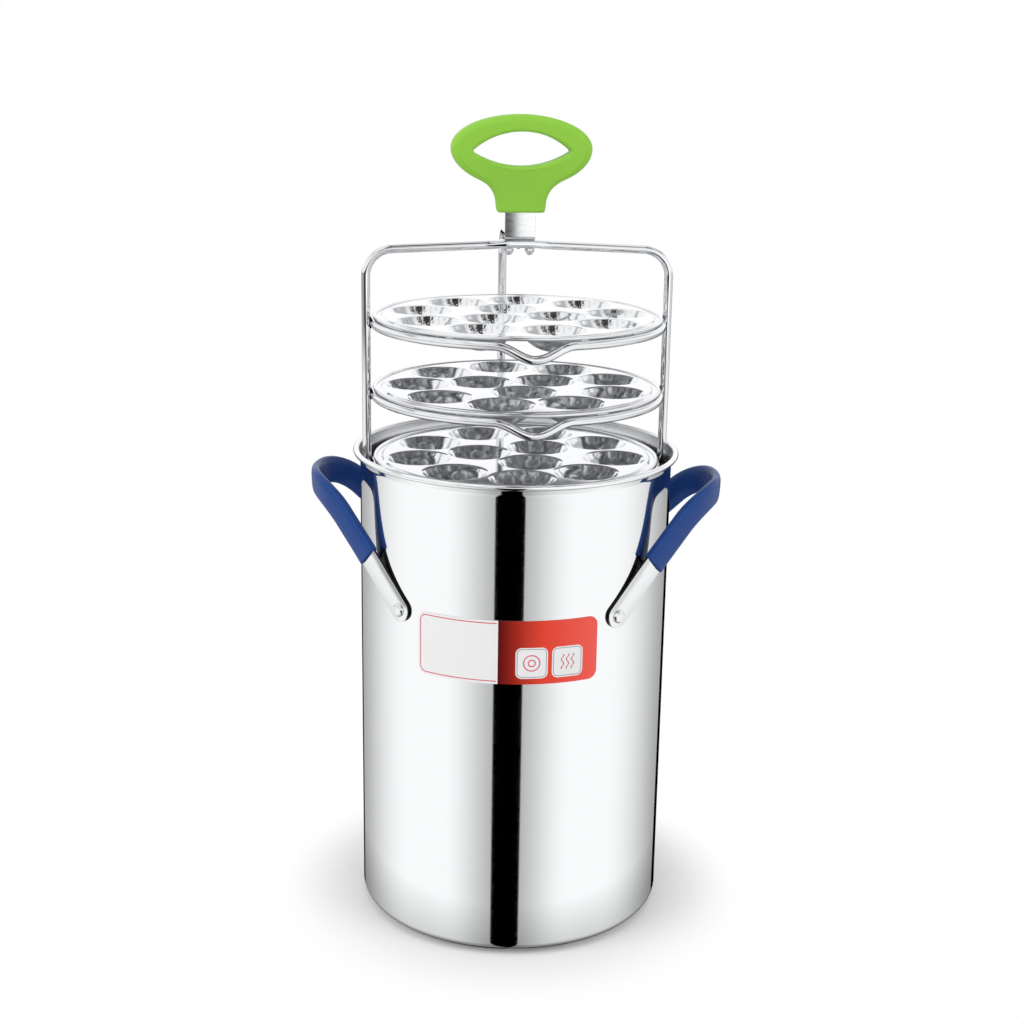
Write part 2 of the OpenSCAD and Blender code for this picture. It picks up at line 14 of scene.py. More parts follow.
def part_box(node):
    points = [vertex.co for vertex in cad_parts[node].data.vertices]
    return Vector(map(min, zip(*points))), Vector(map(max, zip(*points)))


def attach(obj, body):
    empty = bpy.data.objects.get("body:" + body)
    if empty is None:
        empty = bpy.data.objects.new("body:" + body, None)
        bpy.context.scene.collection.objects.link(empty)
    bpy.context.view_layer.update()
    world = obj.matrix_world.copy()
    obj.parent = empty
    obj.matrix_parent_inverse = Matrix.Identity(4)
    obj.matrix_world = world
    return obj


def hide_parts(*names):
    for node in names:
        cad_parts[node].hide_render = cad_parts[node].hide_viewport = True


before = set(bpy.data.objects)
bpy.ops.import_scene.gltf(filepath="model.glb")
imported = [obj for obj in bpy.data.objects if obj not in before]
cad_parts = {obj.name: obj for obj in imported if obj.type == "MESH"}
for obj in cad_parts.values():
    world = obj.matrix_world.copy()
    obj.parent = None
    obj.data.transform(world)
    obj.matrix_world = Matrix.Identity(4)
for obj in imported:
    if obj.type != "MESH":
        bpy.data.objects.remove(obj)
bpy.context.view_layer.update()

bl_info = {
    "name": "Stovetop Steamer",
    "version": (1, 0, 0),
    "blender": (4, 5, 0),
    "location": "3D View > Sidebar > Steamer",
    "description": "Polished steamer pot with a rack of cupped plates",
    "category": "Add Mesh",
}

MM = 0.001
# Points closer than this are one point
MERGE = 0.002 * MM
# Gap between a side handle's strap and the pot's wall
STRAP_GAP = 0.05 * MM
# Points round a cup's lip, and round the opening that it is welded into
CUP_STEPS = 48
# Faces round the rack's wire
WIRE_SIDES = 28
TIERS = ("bottom", "middle", "top")
SIDES = ("left", "right")


def srgb(code):
    """An sRGB hex colour as linear red, green, blue and alpha."""
    parts = [int(code[i:i + 2], 16) / 255 for i in (0, 2, 4)]
    return tuple(c / 12.92 if c <= 0.04045 else ((c + 0.055) / 1.055) ** 2.4 for c in parts) + (1.0,)


def length(name, description, mm):
    """A length for a settings group, whose default is given in millimetres."""
    return FloatProperty(name=name, description=description, default=mm * MM, unit="LENGTH", precision=5)


def angle(name, description, degrees):
    """An angle for a settings group, whose default is given in degrees."""
    return FloatProperty(name=name, description=description, default=math.radians(degrees), unit="ROTATION")


def colour(name, description, code):
    """A colour for a settings group, whose default is an sRGB hex value."""
    return FloatVectorProperty(name=name, description=description, default=srgb(code), size=4, min=0.0,
                               max=1.0, subtype="COLOR")


def top_of(node):
    """Height of the top of a CAD node, in millimetres."""
    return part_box(node)[1].z / MM


def reach_of(node):
    """How far a CAD node reaches from the pot's axis, in millimetres."""
    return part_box(node)[1].x / MM


class PotSettings(bpy.types.PropertyGroup):
    """Sizes and colours of the pot and of what is fixed to its wall."""
    rim_r: length("Rim radius", "Outer radius of the rolled rim", reach_of("pot_shell"))
    height: length("Height", "Height of the rim above the ground", top_of("pot_shell"))
    wall: length("Wall", "Thickness of the wall and the floor", 0.8)
    corner: length("Corner", "Outer radius between wall and floor", 7)
    bead: length("Bead", "Thickness of the rolled bead", 4)
    bead_out: length("Bead reach", "How far the bead stands out past the wall", 4.6)
    flare: length("Flare", "Height of the flared band under the bead", 6)
    disc: length("Base disc", "Thickness of the disc under the floor", top_of("base_disc"))
    disc_r: length("Disc radius", "Radius of the disc under the floor", reach_of("base_disc"))
    steel: colour("Pot steel", "Colour of the mirror-polished pot", "E9EAEB")
    base_steel: colour("Base steel", "Colour of the spun base disc", "B9BBBD")


class LabelSettings(bpy.types.PropertyGroup):
    """Sizes and colours of the label on the pot."""
    width: length("Width", "Width of the label, seen from the front", 115)
    height: length("Height", "Height of the label", 42.5)
    centre_z: length("Centre", "Height of the label's middle above the ground", 215.5)
    corner: length("Corner", "Radius of the label's corners", 6)
    thickness: length("Film", "Thickness of the label", 0.2)
    glue: length("Glue", "Thickness of the glue under the label", 0.1)
    split: length("Split", "Where the two fields meet, right of the label's middle", -5.3)
    white: colour("White", "Colour of the light field", "E9E9EA")
    line: colour("Line", "Colour of the thin outline", "CF5560")
    dark_red: colour("Dark red", "Colour of the red field at the split", "560306")
    mid_red: colour("Orange red", "Colour of the red field at its middle", "E03A22")
    light_red: colour("Light red", "Colour of the red field at its end", "F0584C")


class HandleSettings(bpy.types.PropertyGroup):
    """Sizes and colours of the two side handles."""
    strap_w: length("Strap width", "Width of the steel strap", 16)
    strap_t: length("Strap", "Thickness of the steel strap", 2)
    reach: length("Reach", "Reach of the loop past the pot's wall", 28.5)
    rivet_angle: angle("Rivet angle", "Angle from the handle's middle to each rivet", 48.5)
    rivet_z: length("Rivet height", "Height of the rivets above the ground", 233.5)
    rise: length("Rise", "Height of the loop's top above its rivets", 67.5)
    level: length("Level", "Half length of the level stretch at the top", 15)
    shoulder_r: length("Shoulder", "Radius of the loop's shoulders, seen from the side", 52)
    lean: angle("Lean", "How much the loop leans outwards", 3)
    lean_from: length("Lean start", "Height above the rivets of the crease where the lean starts", 28)
    sleeve_w: length("Sleeve width", "Width of the soft sleeve", 18.6)
    sleeve_t: length("Sleeve", "Thickness of the soft sleeve", 6.4)
    sleeve_len: length("Sleeve length", "Length of the sleeve along the strap", 178)
    rivet_d: length("Rivet", "Diameter of a rivet's head", 9)
    rivet_h: length("Rivet head", "Height of a rivet's head", 2.2)
    foot_d: length("Rivet foot", "Diameter of a rivet's flat head inside the pot", 8)
    strap_steel: colour("Strap steel", "Colour of the polished straps", "E4E5E6")
    rivet_steel: colour("Rivet steel", "Colour of the rivets", "E2E3E4")
    silicone: colour("Silicone", "Colour of the sleeves", "0F3C80")


class RackSettings(bpy.types.PropertyGroup):
    """Sizes and colours of the lift-out rack."""
    wire: length("Wire", "Diameter of the rack's wire", 5.8)
    gap: length("Gap", "Gap between an upright and the pot's wall", 0.8)
    turn: angle("Turn", "Turn of the rack inside the pot", 9)
    bar_rise: length("Bar rise", "How much the hoop's bar rises to its middle", 3.5)
    bend: length("Bend", "Radius of the bends in the wire", 18)
    pad_len: length("Pad length", "Length of the flattened pad on the bar", 34)
    pad_t: length("Pad", "Thickness of the flattened pad", 5.4)
    pad_w: length("Pad depth", "Depth of the flattened pad, front to back", 9)
    weld: length("Weld", "How far welded wires sink into one another", 0.4)
    dip_w: length("Dip width", "Width of the dip at the front of each ring", 50)
    dip_h: length("Dip depth", "Depth of the dip at the front of each ring", 8.5)
    wire_steel: colour("Wire steel", "Colour of the wire", "DEDFE1")
    weld_steel: colour("Weld", "Colour of the weld beads", "2E2A28")


class PlateSettings(bpy.types.PropertyGroup):
    """Sizes and colours of the three plates."""
    radius: length("Radius", "Outer radius of a plate", reach_of("top_plate"))
    sheet: length("Sheet", "Thickness of the sheet", 0.8)
    edge: length("Edge", "Thickness of the rolled edge", 2.4)
    flange: length("Flange", "Width of the flat flange that lies on the ring", 5.2)
    step: length("Step", "Height of the step up to the cups' field", 1.4)
    cup_h: length("Cup depth", "Depth of a cup", 13)
    mouth: length("Cup mouth", "Radius of the rounded lip of a cup", 1.8)
    outer_cups: IntProperty(name="Outer cups", description="Cups in the outer circle", default=9, min=3)
    inner_cups: IntProperty(name="Inner cups", description="Cups in the inner circle", default=3, min=2)
    rim_land: length("Rim land", "Land between the outer cups and the step", 3.4)
    cup_land: length("Cup land", "Land between neighbouring outer cups", 3.5)
    inner_land: length("Inner land", "Land between neighbouring inner cups", 1.8)
    hole_d: length("Steam hole", "Diameter of a steam hole", 2.2)
    hole_r: length("Hole circle", "Radius of the circle of steam holes in a cup", 7)
    holes: IntProperty(name="Steam holes", description="Steam holes round a cup's middle hole", default=4)
    bottom_turn: angle("Bottom turn", "Turn of the bottom plate on its ring", 27)
    middle_turn: angle("Middle turn", "Turn of the middle plate on its ring", 15)
    top_turn: angle("Top turn", "Turn of the top plate on its ring", -37)
    steel: colour("Plate steel", "Colour of the pressed plates", "E3E4E6")


class GripSettings(bpy.types.PropertyGroup):
    """Sizes and colours of the lifting handle."""
    strap_w: length("Strap width", "Width of the lifting strap", 20)
    strap_t: length("Strap", "Thickness of the lifting strap", 2)
    strap_bend: length("Strap bend", "Inside radius of the bend above the strap's foot", 0.5)
    strap_in: length("Strap inside", "How far the strap reaches into the grip", 24)
    screw_gap: length("Screw gap", "Distance between the two screws", 13.7)
    screw_d: length("Screw", "Diameter of a screw's shank", 3)
    head_d: length("Head", "Diameter of a screw's head", 5.6)
    head_h: length("Head height", "Height of a screw's head", 2)
    nut_af: length("Nut", "Width of a nut across its flats", 5.5)
    nut_h: length("Nut height", "Height of a nut's hexagon", 2.4)
    dome_h: length("Dome", "Height of a nut's dome", 2.4)
    width: length("Grip width", "Width of the grip", 91)
    neck_w: length("Neck width", "Width of the grip's neck", 31)
    neck_t: length("Neck", "Thickness of the grip at its neck", 11)
    neck_h: length("Neck height", "Height of the grip's straight neck", 6)
    bar_t: length("Bar", "Thickness of the grip at its bar", 18)
    hole_w: length("Hole width", "Width of the finger hole", 64.5)
    tip_h: length("Hole height", "Height of the finger hole's tips above the grip's foot", 39)
    hole_up: length("Hole top", "Height of the hole's upper arc over its tips", 12.4)
    hole_down: length("Hole bottom", "Depth of the hole's lower arc under its tips", 9.6)
    neck_edge: length("Neck edge", "Radius of the rounded edge at the neck", 1.6)
    bar_edge: length("Bar edge", "Radius of the rounded edge at the bar", 4.2)
    hole_edge: length("Hole edge", "Radius of the rounded edge of the finger hole", 2.2)
    green: colour("Grip", "Colour of the grip", "8BC540")
    screw_steel: colour("Screw steel", "Colour of the screws and nuts", "CFD0D2")


class StudioSettings(bpy.types.PropertyGroup):
    """The camera, the floor and the light."""
    camera_at: FloatVectorProperty(name="Camera", description="Place of the camera", unit="LENGTH",
                                   default=(0.0417, -1.0867, 0.58025))
    heading: angle("Heading", "Turn of the camera from looking along +Y", 2.3)
    pitch: angle("Pitch", "How far the camera looks down", 15.48)
    roll: angle("Roll", "Turn of the camera about its own axis", 0.92)
    lens: FloatProperty(name="Lens", description="Focal length on a 36 mm sensor, in mm", default=57.95)
    flag_at: angle("Flag", "Direction of the narrow black flag, seen from the pot", -90.9)
    flag_half: angle("Flag width", "Half of the angle that the flag covers", 10.8)
    stand_at: angle("Stand", "Direction of the dark stand left of the camera", -104)
    cloth_shift: FloatVectorProperty(name="Cloth", description="Shift of the overhead cloth's mottling",
                                     default=(0.0, 0.0, 0.0))
    tent: FloatProperty(name="Tent", description="Strength of the tent in reflections", default=1.16)
    fill: FloatProperty(name="Fill", description="Strength of the plain light from all sides",
                        default=0.54)
    left_power: FloatProperty(name="Left box", description="Power of the left soft box", default=15,
                              unit="POWER")
    right_power: FloatProperty(name="Right box", description="Power of the right soft box", default=11,
                               unit="POWER")
    top_power: FloatProperty(name="Top box", description="Power of the soft box overhead", default=6,
                             unit="POWER")
    floor: colour("Floor", "Colour of the floor", "F4F4F4")


class SteamerSettings(bpy.types.PropertyGroup):
    """All settings of the steamer."""
    pot: PointerProperty(type=PotSettings)
    label: PointerProperty(type=LabelSettings)
    handles: PointerProperty(type=HandleSettings)
    rack: PointerProperty(type=RackSettings)
    plates: PointerProperty(type=PlateSettings)
    grip: PointerProperty(type=GripSettings)
    studio: PointerProperty(type=StudioSettings)


# Paths and shapes. A shape is a pair: its points, and its faces as lists of point numbers.

def arc_between(start, end, steps):
    """Points on the shorter arc about the origin from one vector to another of its length."""
    wide = start.angle(end)
    return [(start * math.sin(wide * (1 - k / steps)) + end * math.sin(wide * k / steps)) / math.sin(wide)
            for k in range(steps + 1)]


def rounded(path, radii, steps=8):
    """A path whose inner corners are rounded by true arcs of the given radii."""
    path = [Vector(p) for p in path]
    result = [path[0]]
    for before, corner, after, radius in zip(path, path[1:], path[2:], radii):
        back, on = (before - corner).normalized(), (after - corner).normalized()
        half = back.angle(on) / 2
        if radius <= 0 or half > math.radians(89.9):
            result.append(corner)
            continue
        cut = radius / math.tan(half)
        centre = corner + (back + on).normalized() * radius / math.sin(half)
        arc = arc_between(corner + back * cut - centre, corner + on * cut - centre, steps)
        result += [centre + p for p in arc]
    return result + [path[-1]]


def arc(centre, radius, start, end, steps):
    """Points in the plane on an arc, between two angles in degrees."""
    turns = [math.radians(start + (end - start) * k / steps) for k in range(steps + 1)]
    return [Vector((centre[0] + radius * math.cos(t), centre[1] + radius * math.sin(t))) for t in turns]


def circle(centre, radius, steps):
    """Points in the plane on a circle."""
    return arc(centre, radius, 0, 360, steps)[:-1]


def lathe(profile, steps):
    """A profile of (radius, height) turned round Z. Faces look up where the profile runs outwards."""
    points = []
    for r, z in profile:
        points += [Vector((r * math.cos(t), r * math.sin(t), z))
                   for t in (2 * math.pi * j / steps for j in range(steps))]
    faces = [(i * steps + j, (i + 1) * steps + j,
              (i + 1) * steps + (j + 1) % steps, i * steps + (j + 1) % steps)
             for i in range(len(profile) - 1) for j in range(steps)]
    return points, faces


def skin(rings, closed=False):
    """A skin over rings of equally many points, with flat ends unless the row of rings is closed."""
    n, m = len(rings[0]), len(rings)
    points = [p for ring in rings for p in ring]
    faces = [(i * n + j, i * n + (j + 1) % n, (i + 1) % m * n + (j + 1) % n, (i + 1) % m * n + j)
             for i in range(m if closed else m - 1) for j in range(n)]
    if not closed:
        faces += [tuple(range(n)), tuple(range((m - 1) * n, m * n))]
    return points, faces


def joined(*shapes):
    """Several shapes as one."""
    points, faces = [], []
    for more_points, more_faces in shapes:
        faces += [tuple(len(points) + i for i in face) for face in more_faces]
        points += list(more_points)
    return points, faces


def moved(shape, matrix):
    """A shape with each point moved by a matrix."""
    return [matrix @ Vector(p) for p in shape[0]], shape[1]


def within(point, loop):
    """Whether a point in the plane lies inside a closed loop."""
    inside = False
    for a, b in zip(loop, loop[1:] + loop[:1]):
        if (a[1] > point[1]) != (b[1] > point[1]):
            if point[0] < a[0] + (point[1] - a[1]) / (b[1] - a[1]) * (b[0] - a[0]):
                inside = not inside
    return inside


def fill(outline, holes, inside=()):
    """Triangles between an outline and its holes, in the plane, using more points inside."""
    loops = [outline, *holes]
    points = [Vector(p) for loop in loops for p in loop] + [Vector(p) for p in inside]
    edges, start = [], 0
    for loop in loops:
        edges += [(start + i, start + (i + 1) % len(loop)) for i in range(len(loop))]
        start += len(loop)
    found, _, faces, *_ = delaunay_2d_cdt(points, edges, [], 0, 0.001 * MERGE)
    kept = []
    for face in faces:
        middle = sum((found[i] for i in face), Vector((0, 0))) / 3
        if within(middle, outline) and not any(within(middle, hole) for hole in holes):
            kept.append(tuple(face))
    return found, kept


def round_section(width, thickness, radius, steps=3):
    """A rounded rectangle, centred, as (across, through)."""
    corners = [(1, 1, 0), (-1, 1, 90), (-1, -1, 180), (1, -1, 270)]
    return [p for x, y, start in corners
            for p in arc((x * (width / 2 - radius), y * (thickness / 2 - radius)), radius, start, start + 90,
                         steps)]


def crowned_section(width, thickness, power, steps=40):
    """A flattened oval, centred, as (across, through): the higher its power, the squarer."""
    turns = [2 * math.pi * k / steps for k in range(steps)]
    return [Vector((width / 2 * math.copysign(abs(math.cos(t)) ** (2 / power), math.cos(t)),
                    thickness / 2 * math.copysign(abs(math.sin(t)) ** (2 / power), math.sin(t))))
            for t in turns]


def smoothstep(low, high, value):
    """A smooth rise from 0 at low to 1 at high."""
    t = min(max((value - low) / (high - low), 0.0), 1.0)
    return t * t * (3 - 2 * t)


# Pieces

def new_object(name, data):
    """An object for a mesh, a curve, a lamp or a camera, in the scene."""
    obj = bpy.data.objects.new(name, data)
    bpy.context.scene.collection.objects.link(obj)
    return obj


def new_mesh(name, shape):
    """A mesh from a shape."""
    mesh = bpy.data.meshes.new(name)
    mesh.from_pydata([tuple(p) for p in shape[0]], [], shape[1])
    return mesh


def dress(obj, material, body, replaced, sharp=35):
    """Finishes a piece: merged, facing outwards, smooth but for corners sharper than an angle in
    degrees, and fixed to its body."""
    form = bmesh.new()
    form.from_mesh(obj.data)
    bmesh.ops.remove_doubles(form, verts=form.verts, dist=MERGE)
    bmesh.ops.recalc_face_normals(form, faces=form.faces)
    form.to_mesh(obj.data)
    form.free()
    obj.data.shade_smooth()
    obj.data.set_sharp_from_angle(angle=math.radians(sharp))
    obj.data.materials.clear()
    obj.data.materials.append(material)
    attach(obj, body)
    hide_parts(*replaced)
    return obj


def piece(name, shape, material, body, replaced, sharp=35):
    """A finished piece from a shape."""
    return dress(new_object(name, new_mesh(name, shape)), material, body, replaced, sharp)


# Nodes

def add(tree, kind, inputs=(), **settings):
    """Adds a node with its settings, and sets or links its inputs, by name or number."""
    node = tree.nodes.new(kind)
    for name, value in settings.items():
        setattr(node, name, value)
    for name, value in dict(inputs).items():
        if isinstance(value, bpy.types.NodeSocket):
            tree.links.new(value, node.inputs[name])
        else:
            node.inputs[name].default_value = value
    return node


def new_tree(name, inputs):
    """A geometry node tree with its input and output nodes. Inputs are (name, kind, description)."""
    tree = bpy.data.node_groups.new(name, "GeometryNodeTree")
    tree.interface.new_socket(name="Geometry", in_out="INPUT", socket_type="NodeSocketGeometry")
    for title, kind, description in inputs:
        tree.interface.new_socket(name=title, in_out="INPUT", socket_type=kind, description=description)
    tree.interface.new_socket(name="Geometry", in_out="OUTPUT", socket_type="NodeSocketGeometry")
    return tree, add(tree, "NodeGroupInput").outputs


def end_tree(tree, geometry, material):
    """Ends a tree in real geometry with its material."""
    real = add(tree, "GeometryNodeRealizeInstances", {"Geometry": geometry})
    done = add(tree, "GeometryNodeSetMaterial", {"Geometry": real.outputs[0], "Material": material})
    add(tree, "NodeGroupOutput", {0: done.outputs[0]})
    return tree


def grow(obj, tree, inputs):
    """Runs a tree on an object, with inputs set by name, and returns the plain mesh that it makes."""
    modifier = obj.modifiers.new(tree.name, "NODES")
    modifier.node_group = tree
    for socket in tree.interface.items_tree:
        if socket.in_out == "INPUT" and socket.name in inputs:
            modifier[socket.identifier] = inputs[socket.name]
    # A thickening of the sheet, where the object has one, comes after the tree
    obj.modifiers.move(len(obj.modifiers) - 1, 0)
    graph = bpy.context.evaluated_depsgraph_get()
    graph.update()
    mesh = bpy.data.meshes.new_from_object(obj.evaluated_get(graph), depsgraph=graph)
    bpy.data.objects.remove(obj)
    return mesh


def shape_of(mesh):
    """A mesh as a shape."""
    return [v.co.copy() for v in mesh.vertices], [tuple(face.vertices) for face in mesh.polygons]


def wire_tree():
    """Makes round wire along a curve."""
    tree, given = new_tree("Wire", [
        ("Diameter", "NodeSocketFloat", "Diameter of the wire"),
        ("Sides", "NodeSocketInt", "Faces round the wire"),
        ("Material", "NodeSocketMaterial", "Finish of the wire")])
    radius = add(tree, "ShaderNodeMath", {0: given["Diameter"], 1: 0.5}, operation="MULTIPLY")
    section = add(tree, "GeometryNodeCurvePrimitiveCircle",
                  {"Resolution": given["Sides"], "Radius": radius.outputs[0]})
    taper = add(tree, "GeometryNodeInputRadius")
    tube = add(tree, "GeometryNodeCurveToMesh", {
        "Curve": given["Geometry"], "Profile Curve": section.outputs[0],
        "Scale": taper.outputs[0], "Fill Caps": True})
    return end_tree(tree, tube.outputs[0], given["Material"])


def ring_tree():
    """Makes a ring of wire with a smooth dip at its front."""
    tree, given = new_tree("Ring", [
        ("Radius", "NodeSocketFloat", "Radius of the ring's middle line"),
        ("Diameter", "NodeSocketFloat", "Diameter of the wire"),
        ("Dip width", "NodeSocketFloat", "Width of the dip along the ring"),
        ("Dip depth", "NodeSocketFloat", "Depth of the dip"),
        ("Steps", "NodeSocketInt", "Points round the ring"),
        ("Sides", "NodeSocketInt", "Faces round the wire"),
        ("Material", "NodeSocketMaterial", "Finish of the wire")])
    line = add(tree, "GeometryNodeCurvePrimitiveCircle",
               {"Resolution": given["Steps"], "Radius": given["Radius"]})
    place = add(tree, "ShaderNodeSeparateXYZ", {0: add(tree, "GeometryNodeInputPosition").outputs[0]})
    ahead = add(tree, "ShaderNodeMath", {0: place.outputs["Y"], 1: -1.0}, operation="MULTIPLY")
    turn = add(tree, "ShaderNodeMath", {0: place.outputs["X"], 1: ahead.outputs[0]}, operation="ARCTAN2")
    away = add(tree, "ShaderNodeMath", {0: turn.outputs[0]}, operation="ABSOLUTE")
    along = add(tree, "ShaderNodeMath", {0: away.outputs[0], 1: given["Radius"]}, operation="MULTIPLY")
    half = add(tree, "ShaderNodeMath", {0: given["Dip width"], 1: 0.5}, operation="MULTIPLY")
    share = add(tree, "ShaderNodeMath", {0: along.outputs[0], 1: half.outputs[0]}, operation="DIVIDE",
                use_clamp=True)
    phase = add(tree, "ShaderNodeMath", {0: share.outputs[0], 1: math.pi}, operation="MULTIPLY")
    wave = add(tree, "ShaderNodeMath", {0: phase.outputs[0]}, operation="COSINE")
    lift = add(tree, "ShaderNodeMath", {0: wave.outputs[0], 1: 1.0}, operation="ADD")
    sink = add(tree, "ShaderNodeMath", {0: given["Dip depth"], 1: -0.5}, operation="MULTIPLY")
    down = add(tree, "ShaderNodeMath", {0: lift.outputs[0], 1: sink.outputs[0]}, operation="MULTIPLY")
    offset = add(tree, "ShaderNodeCombineXYZ", {"Z": down.outputs[0]})
    bent = add(tree, "GeometryNodeSetPosition", {"Geometry": line.outputs[0], "Offset": offset.outputs[0]})
    radius = add(tree, "ShaderNodeMath", {0: given["Diameter"], 1: 0.5}, operation="MULTIPLY")
    section = add(tree, "GeometryNodeCurvePrimitiveCircle",
                  {"Resolution": given["Sides"], "Radius": radius.outputs[0]})
    tube = add(tree, "GeometryNodeCurveToMesh",
               {"Curve": bent.outputs[0], "Profile Curve": section.outputs[0]})
    return end_tree(tree, tube.outputs[0], given["Material"])


def fastener_tree():
    """Sets a piece on each point, turned by the point's own angles."""
    tree, given = new_tree("Fasteners", [
        ("Piece", "NodeSocketObject", "The piece that is repeated"),
        ("Scale", "NodeSocketFloat", "Size of each copy"),
        ("Material", "NodeSocketMaterial", "Finish of the pieces")])
    model = add(tree, "GeometryNodeObjectInfo", {"Object": given["Piece"]})
    turn = add(tree, "GeometryNodeInputNamedAttribute", {"Name": "turn"}, data_type="FLOAT_VECTOR")
    rotation = add(tree, "FunctionNodeEulerToRotation", {0: turn.outputs[0]})
    copies = add(tree, "GeometryNodeInstanceOnPoints", {
        "Points": given["Geometry"], "Instance": model.outputs["Geometry"],
        "Rotation": rotation.outputs[0], "Scale": given["Scale"]})
    return end_tree(tree, copies.outputs[0], given["Material"])


def cups_tree():
    """Sets cups in two circles into a field with openings for them, and welds their edges to it."""
    tree, given = new_tree("Cups", [
        ("Cup", "NodeSocketObject", "One cup, with its lip"),
        ("Outer cups", "NodeSocketInt", "Cups in the outer circle"),
        ("Outer radius", "NodeSocketFloat", "Radius of the outer circle"),
        ("Inner cups", "NodeSocketInt", "Cups in the inner circle"),
        ("Inner radius", "NodeSocketFloat", "Radius of the inner circle"),
        ("Inner turn", "NodeSocketFloat", "Turn of the inner circle"),
        ("Material", "NodeSocketMaterial", "Finish of the plate")])
    model = add(tree, "GeometryNodeObjectInfo", {"Object": given["Cup"]})
    outer = add(tree, "GeometryNodeMeshCircle",
                {"Vertices": given["Outer cups"], "Radius": given["Outer radius"]})
    inner = add(tree, "GeometryNodeMeshCircle",
                {"Vertices": given["Inner cups"], "Radius": given["Inner radius"]})
    turn = add(tree, "ShaderNodeCombineXYZ", {"Z": given["Inner turn"]})
    turned = add(tree, "GeometryNodeTransform", {"Geometry": inner.outputs[0], "Rotation": turn.outputs[0]})
    places = add(tree, "GeometryNodeJoinGeometry", {0: outer.outputs[0]})
    tree.links.new(turned.outputs[0], places.inputs[0])
    copies = add(tree, "GeometryNodeInstanceOnPoints",
                 {"Points": places.outputs[0], "Instance": model.outputs["Geometry"]})
    cups = add(tree, "GeometryNodeRealizeInstances", {"Geometry": copies.outputs[0]})
    whole = add(tree, "GeometryNodeJoinGeometry", {0: given["Geometry"]})
    tree.links.new(cups.outputs[0], whole.inputs[0])
    welded = add(tree, "GeometryNodeMergeByDistance", {"Geometry": whole.outputs[0], "Distance": MERGE})
    return end_tree(tree, welded.outputs[0], given["Material"])


def wire(path, diameter, material, domed=(True, True)):
    """A shape of round wire along a path, with its free ends domed."""
    radius = diameter / 2
    stops = [(place, 1.0) for place in path]
    for end in (0, -1):
        if not domed[end]:
            continue
        tip, inner = path[end], path[1 if end == 0 else -2]
        on = (inner - tip).normalized()
        # The tip keeps a very small flat, which its end cap closes
        dome = [(tip + on * radius * (1 - math.cos(math.radians(t))), max(math.sin(math.radians(t)), 0.03))
                for t in (0, 15, 30, 45, 60, 75, 90)]
        stops = dome + stops[1:] if end == 0 else stops[:-1] + dome[::-1]
    curve = bpy.data.curves.new("Wire", "CURVE")
    curve.dimensions = "3D"
    spline = curve.splines.new("POLY")
    spline.points.add(len(stops) - 1)
    for point, (place, size) in zip(spline.points, stops):
        point.co = (*place, 1.0)
        point.radius = size
    return shape_of(grow(new_object("Wire", curve), wire_tree(),
                         {"Diameter": diameter, "Sides": WIRE_SIDES, "Material": material}))


def fasteners(name, shape, places, turns, material, body, slot, replaced, sharp=35):
    """A finished piece made of copies of a shape, one on each place with its own turn."""
    model = new_object(name + "_model", new_mesh(name, shape))
    points = bpy.data.meshes.new(name)
    points.from_pydata([tuple(p) for p in places], [], [])
    attribute = points.attributes.new("turn", "FLOAT_VECTOR", "POINT")
    for value, turn in zip(attribute.data, turns):
        value.vector = turn
    mesh = grow(new_object(name, points), fastener_tree(),
                {"Piece": model, "Scale": 1.0, "Material": material})
    bpy.data.objects.remove(model)
    return piece(name, shape_of(mesh), material, body, replaced, sharp)


# Materials

def new_material(name):
    """A material with only its shader and output, and the coordinates of the object."""
    material = bpy.data.materials.new(name)
    material.use_nodes = True
    tree = material.node_tree
    shader = tree.nodes["Principled BSDF"]
    return material, tree, shader, add(tree, "ShaderNodeTexCoord").outputs["Object"]


def metal(name, colour):
    """The start of each metal: fully metallic, with its own colour."""
    material, tree, shader, place = new_material(name)
    shader.inputs["Base Color"].default_value = colour
    shader.inputs["Metallic"].default_value = 1.0
    return material, tree, shader, place


def grained(tree, shader, place, spacing, roughness, depth, detail=3.0):
    """Lets the roughness wander between two values, and the surface rise by a depth, in a noise of
    the given spacing, or of one spacing for each axis."""
    low, high = roughness
    scale = spacing if isinstance(spacing, tuple) else (spacing,) * 3
    stretched = add(tree, "ShaderNodeMapping", {"Vector": place, "Scale": [1 / s for s in scale]})
    noise = add(tree, "ShaderNodeTexNoise", {"Vector": stretched.outputs[0], "Scale": 1.0, "Detail": detail})
    span = add(tree, "ShaderNodeMapRange", {"Value": noise.outputs[0], 1: 0.3, 2: 0.7, 3: low, 4: high})
    relief = add(tree, "ShaderNodeBump", {"Height": noise.outputs[0], "Distance": depth})
    tree.links.new(span.outputs[0], shader.inputs["Roughness"])
    tree.links.new(relief.outputs[0], shader.inputs["Normal"])


def facing_in(tree, place, start=-0.3, end=-0.6):
    """How much a face looks towards the pot's axis: 0 where its outward share is at the start, and
    1 from the end on."""
    level = add(tree, "ShaderNodeVectorMath", {0: place, 1: (1.0, 1.0, 0.0)}, operation="MULTIPLY")
    out = add(tree, "ShaderNodeVectorMath", {0: level.outputs[0]}, operation="NORMALIZE")
    normal = add(tree, "ShaderNodeNewGeometry").outputs["True Normal"]
    toward = add(tree, "ShaderNodeVectorMath", {0: out.outputs[0], 1: normal}, operation="DOT_PRODUCT")
    return add(tree, "ShaderNodeMapRange", {"Value": toward.outputs["Value"], 1: start, 2: end}).outputs[0]


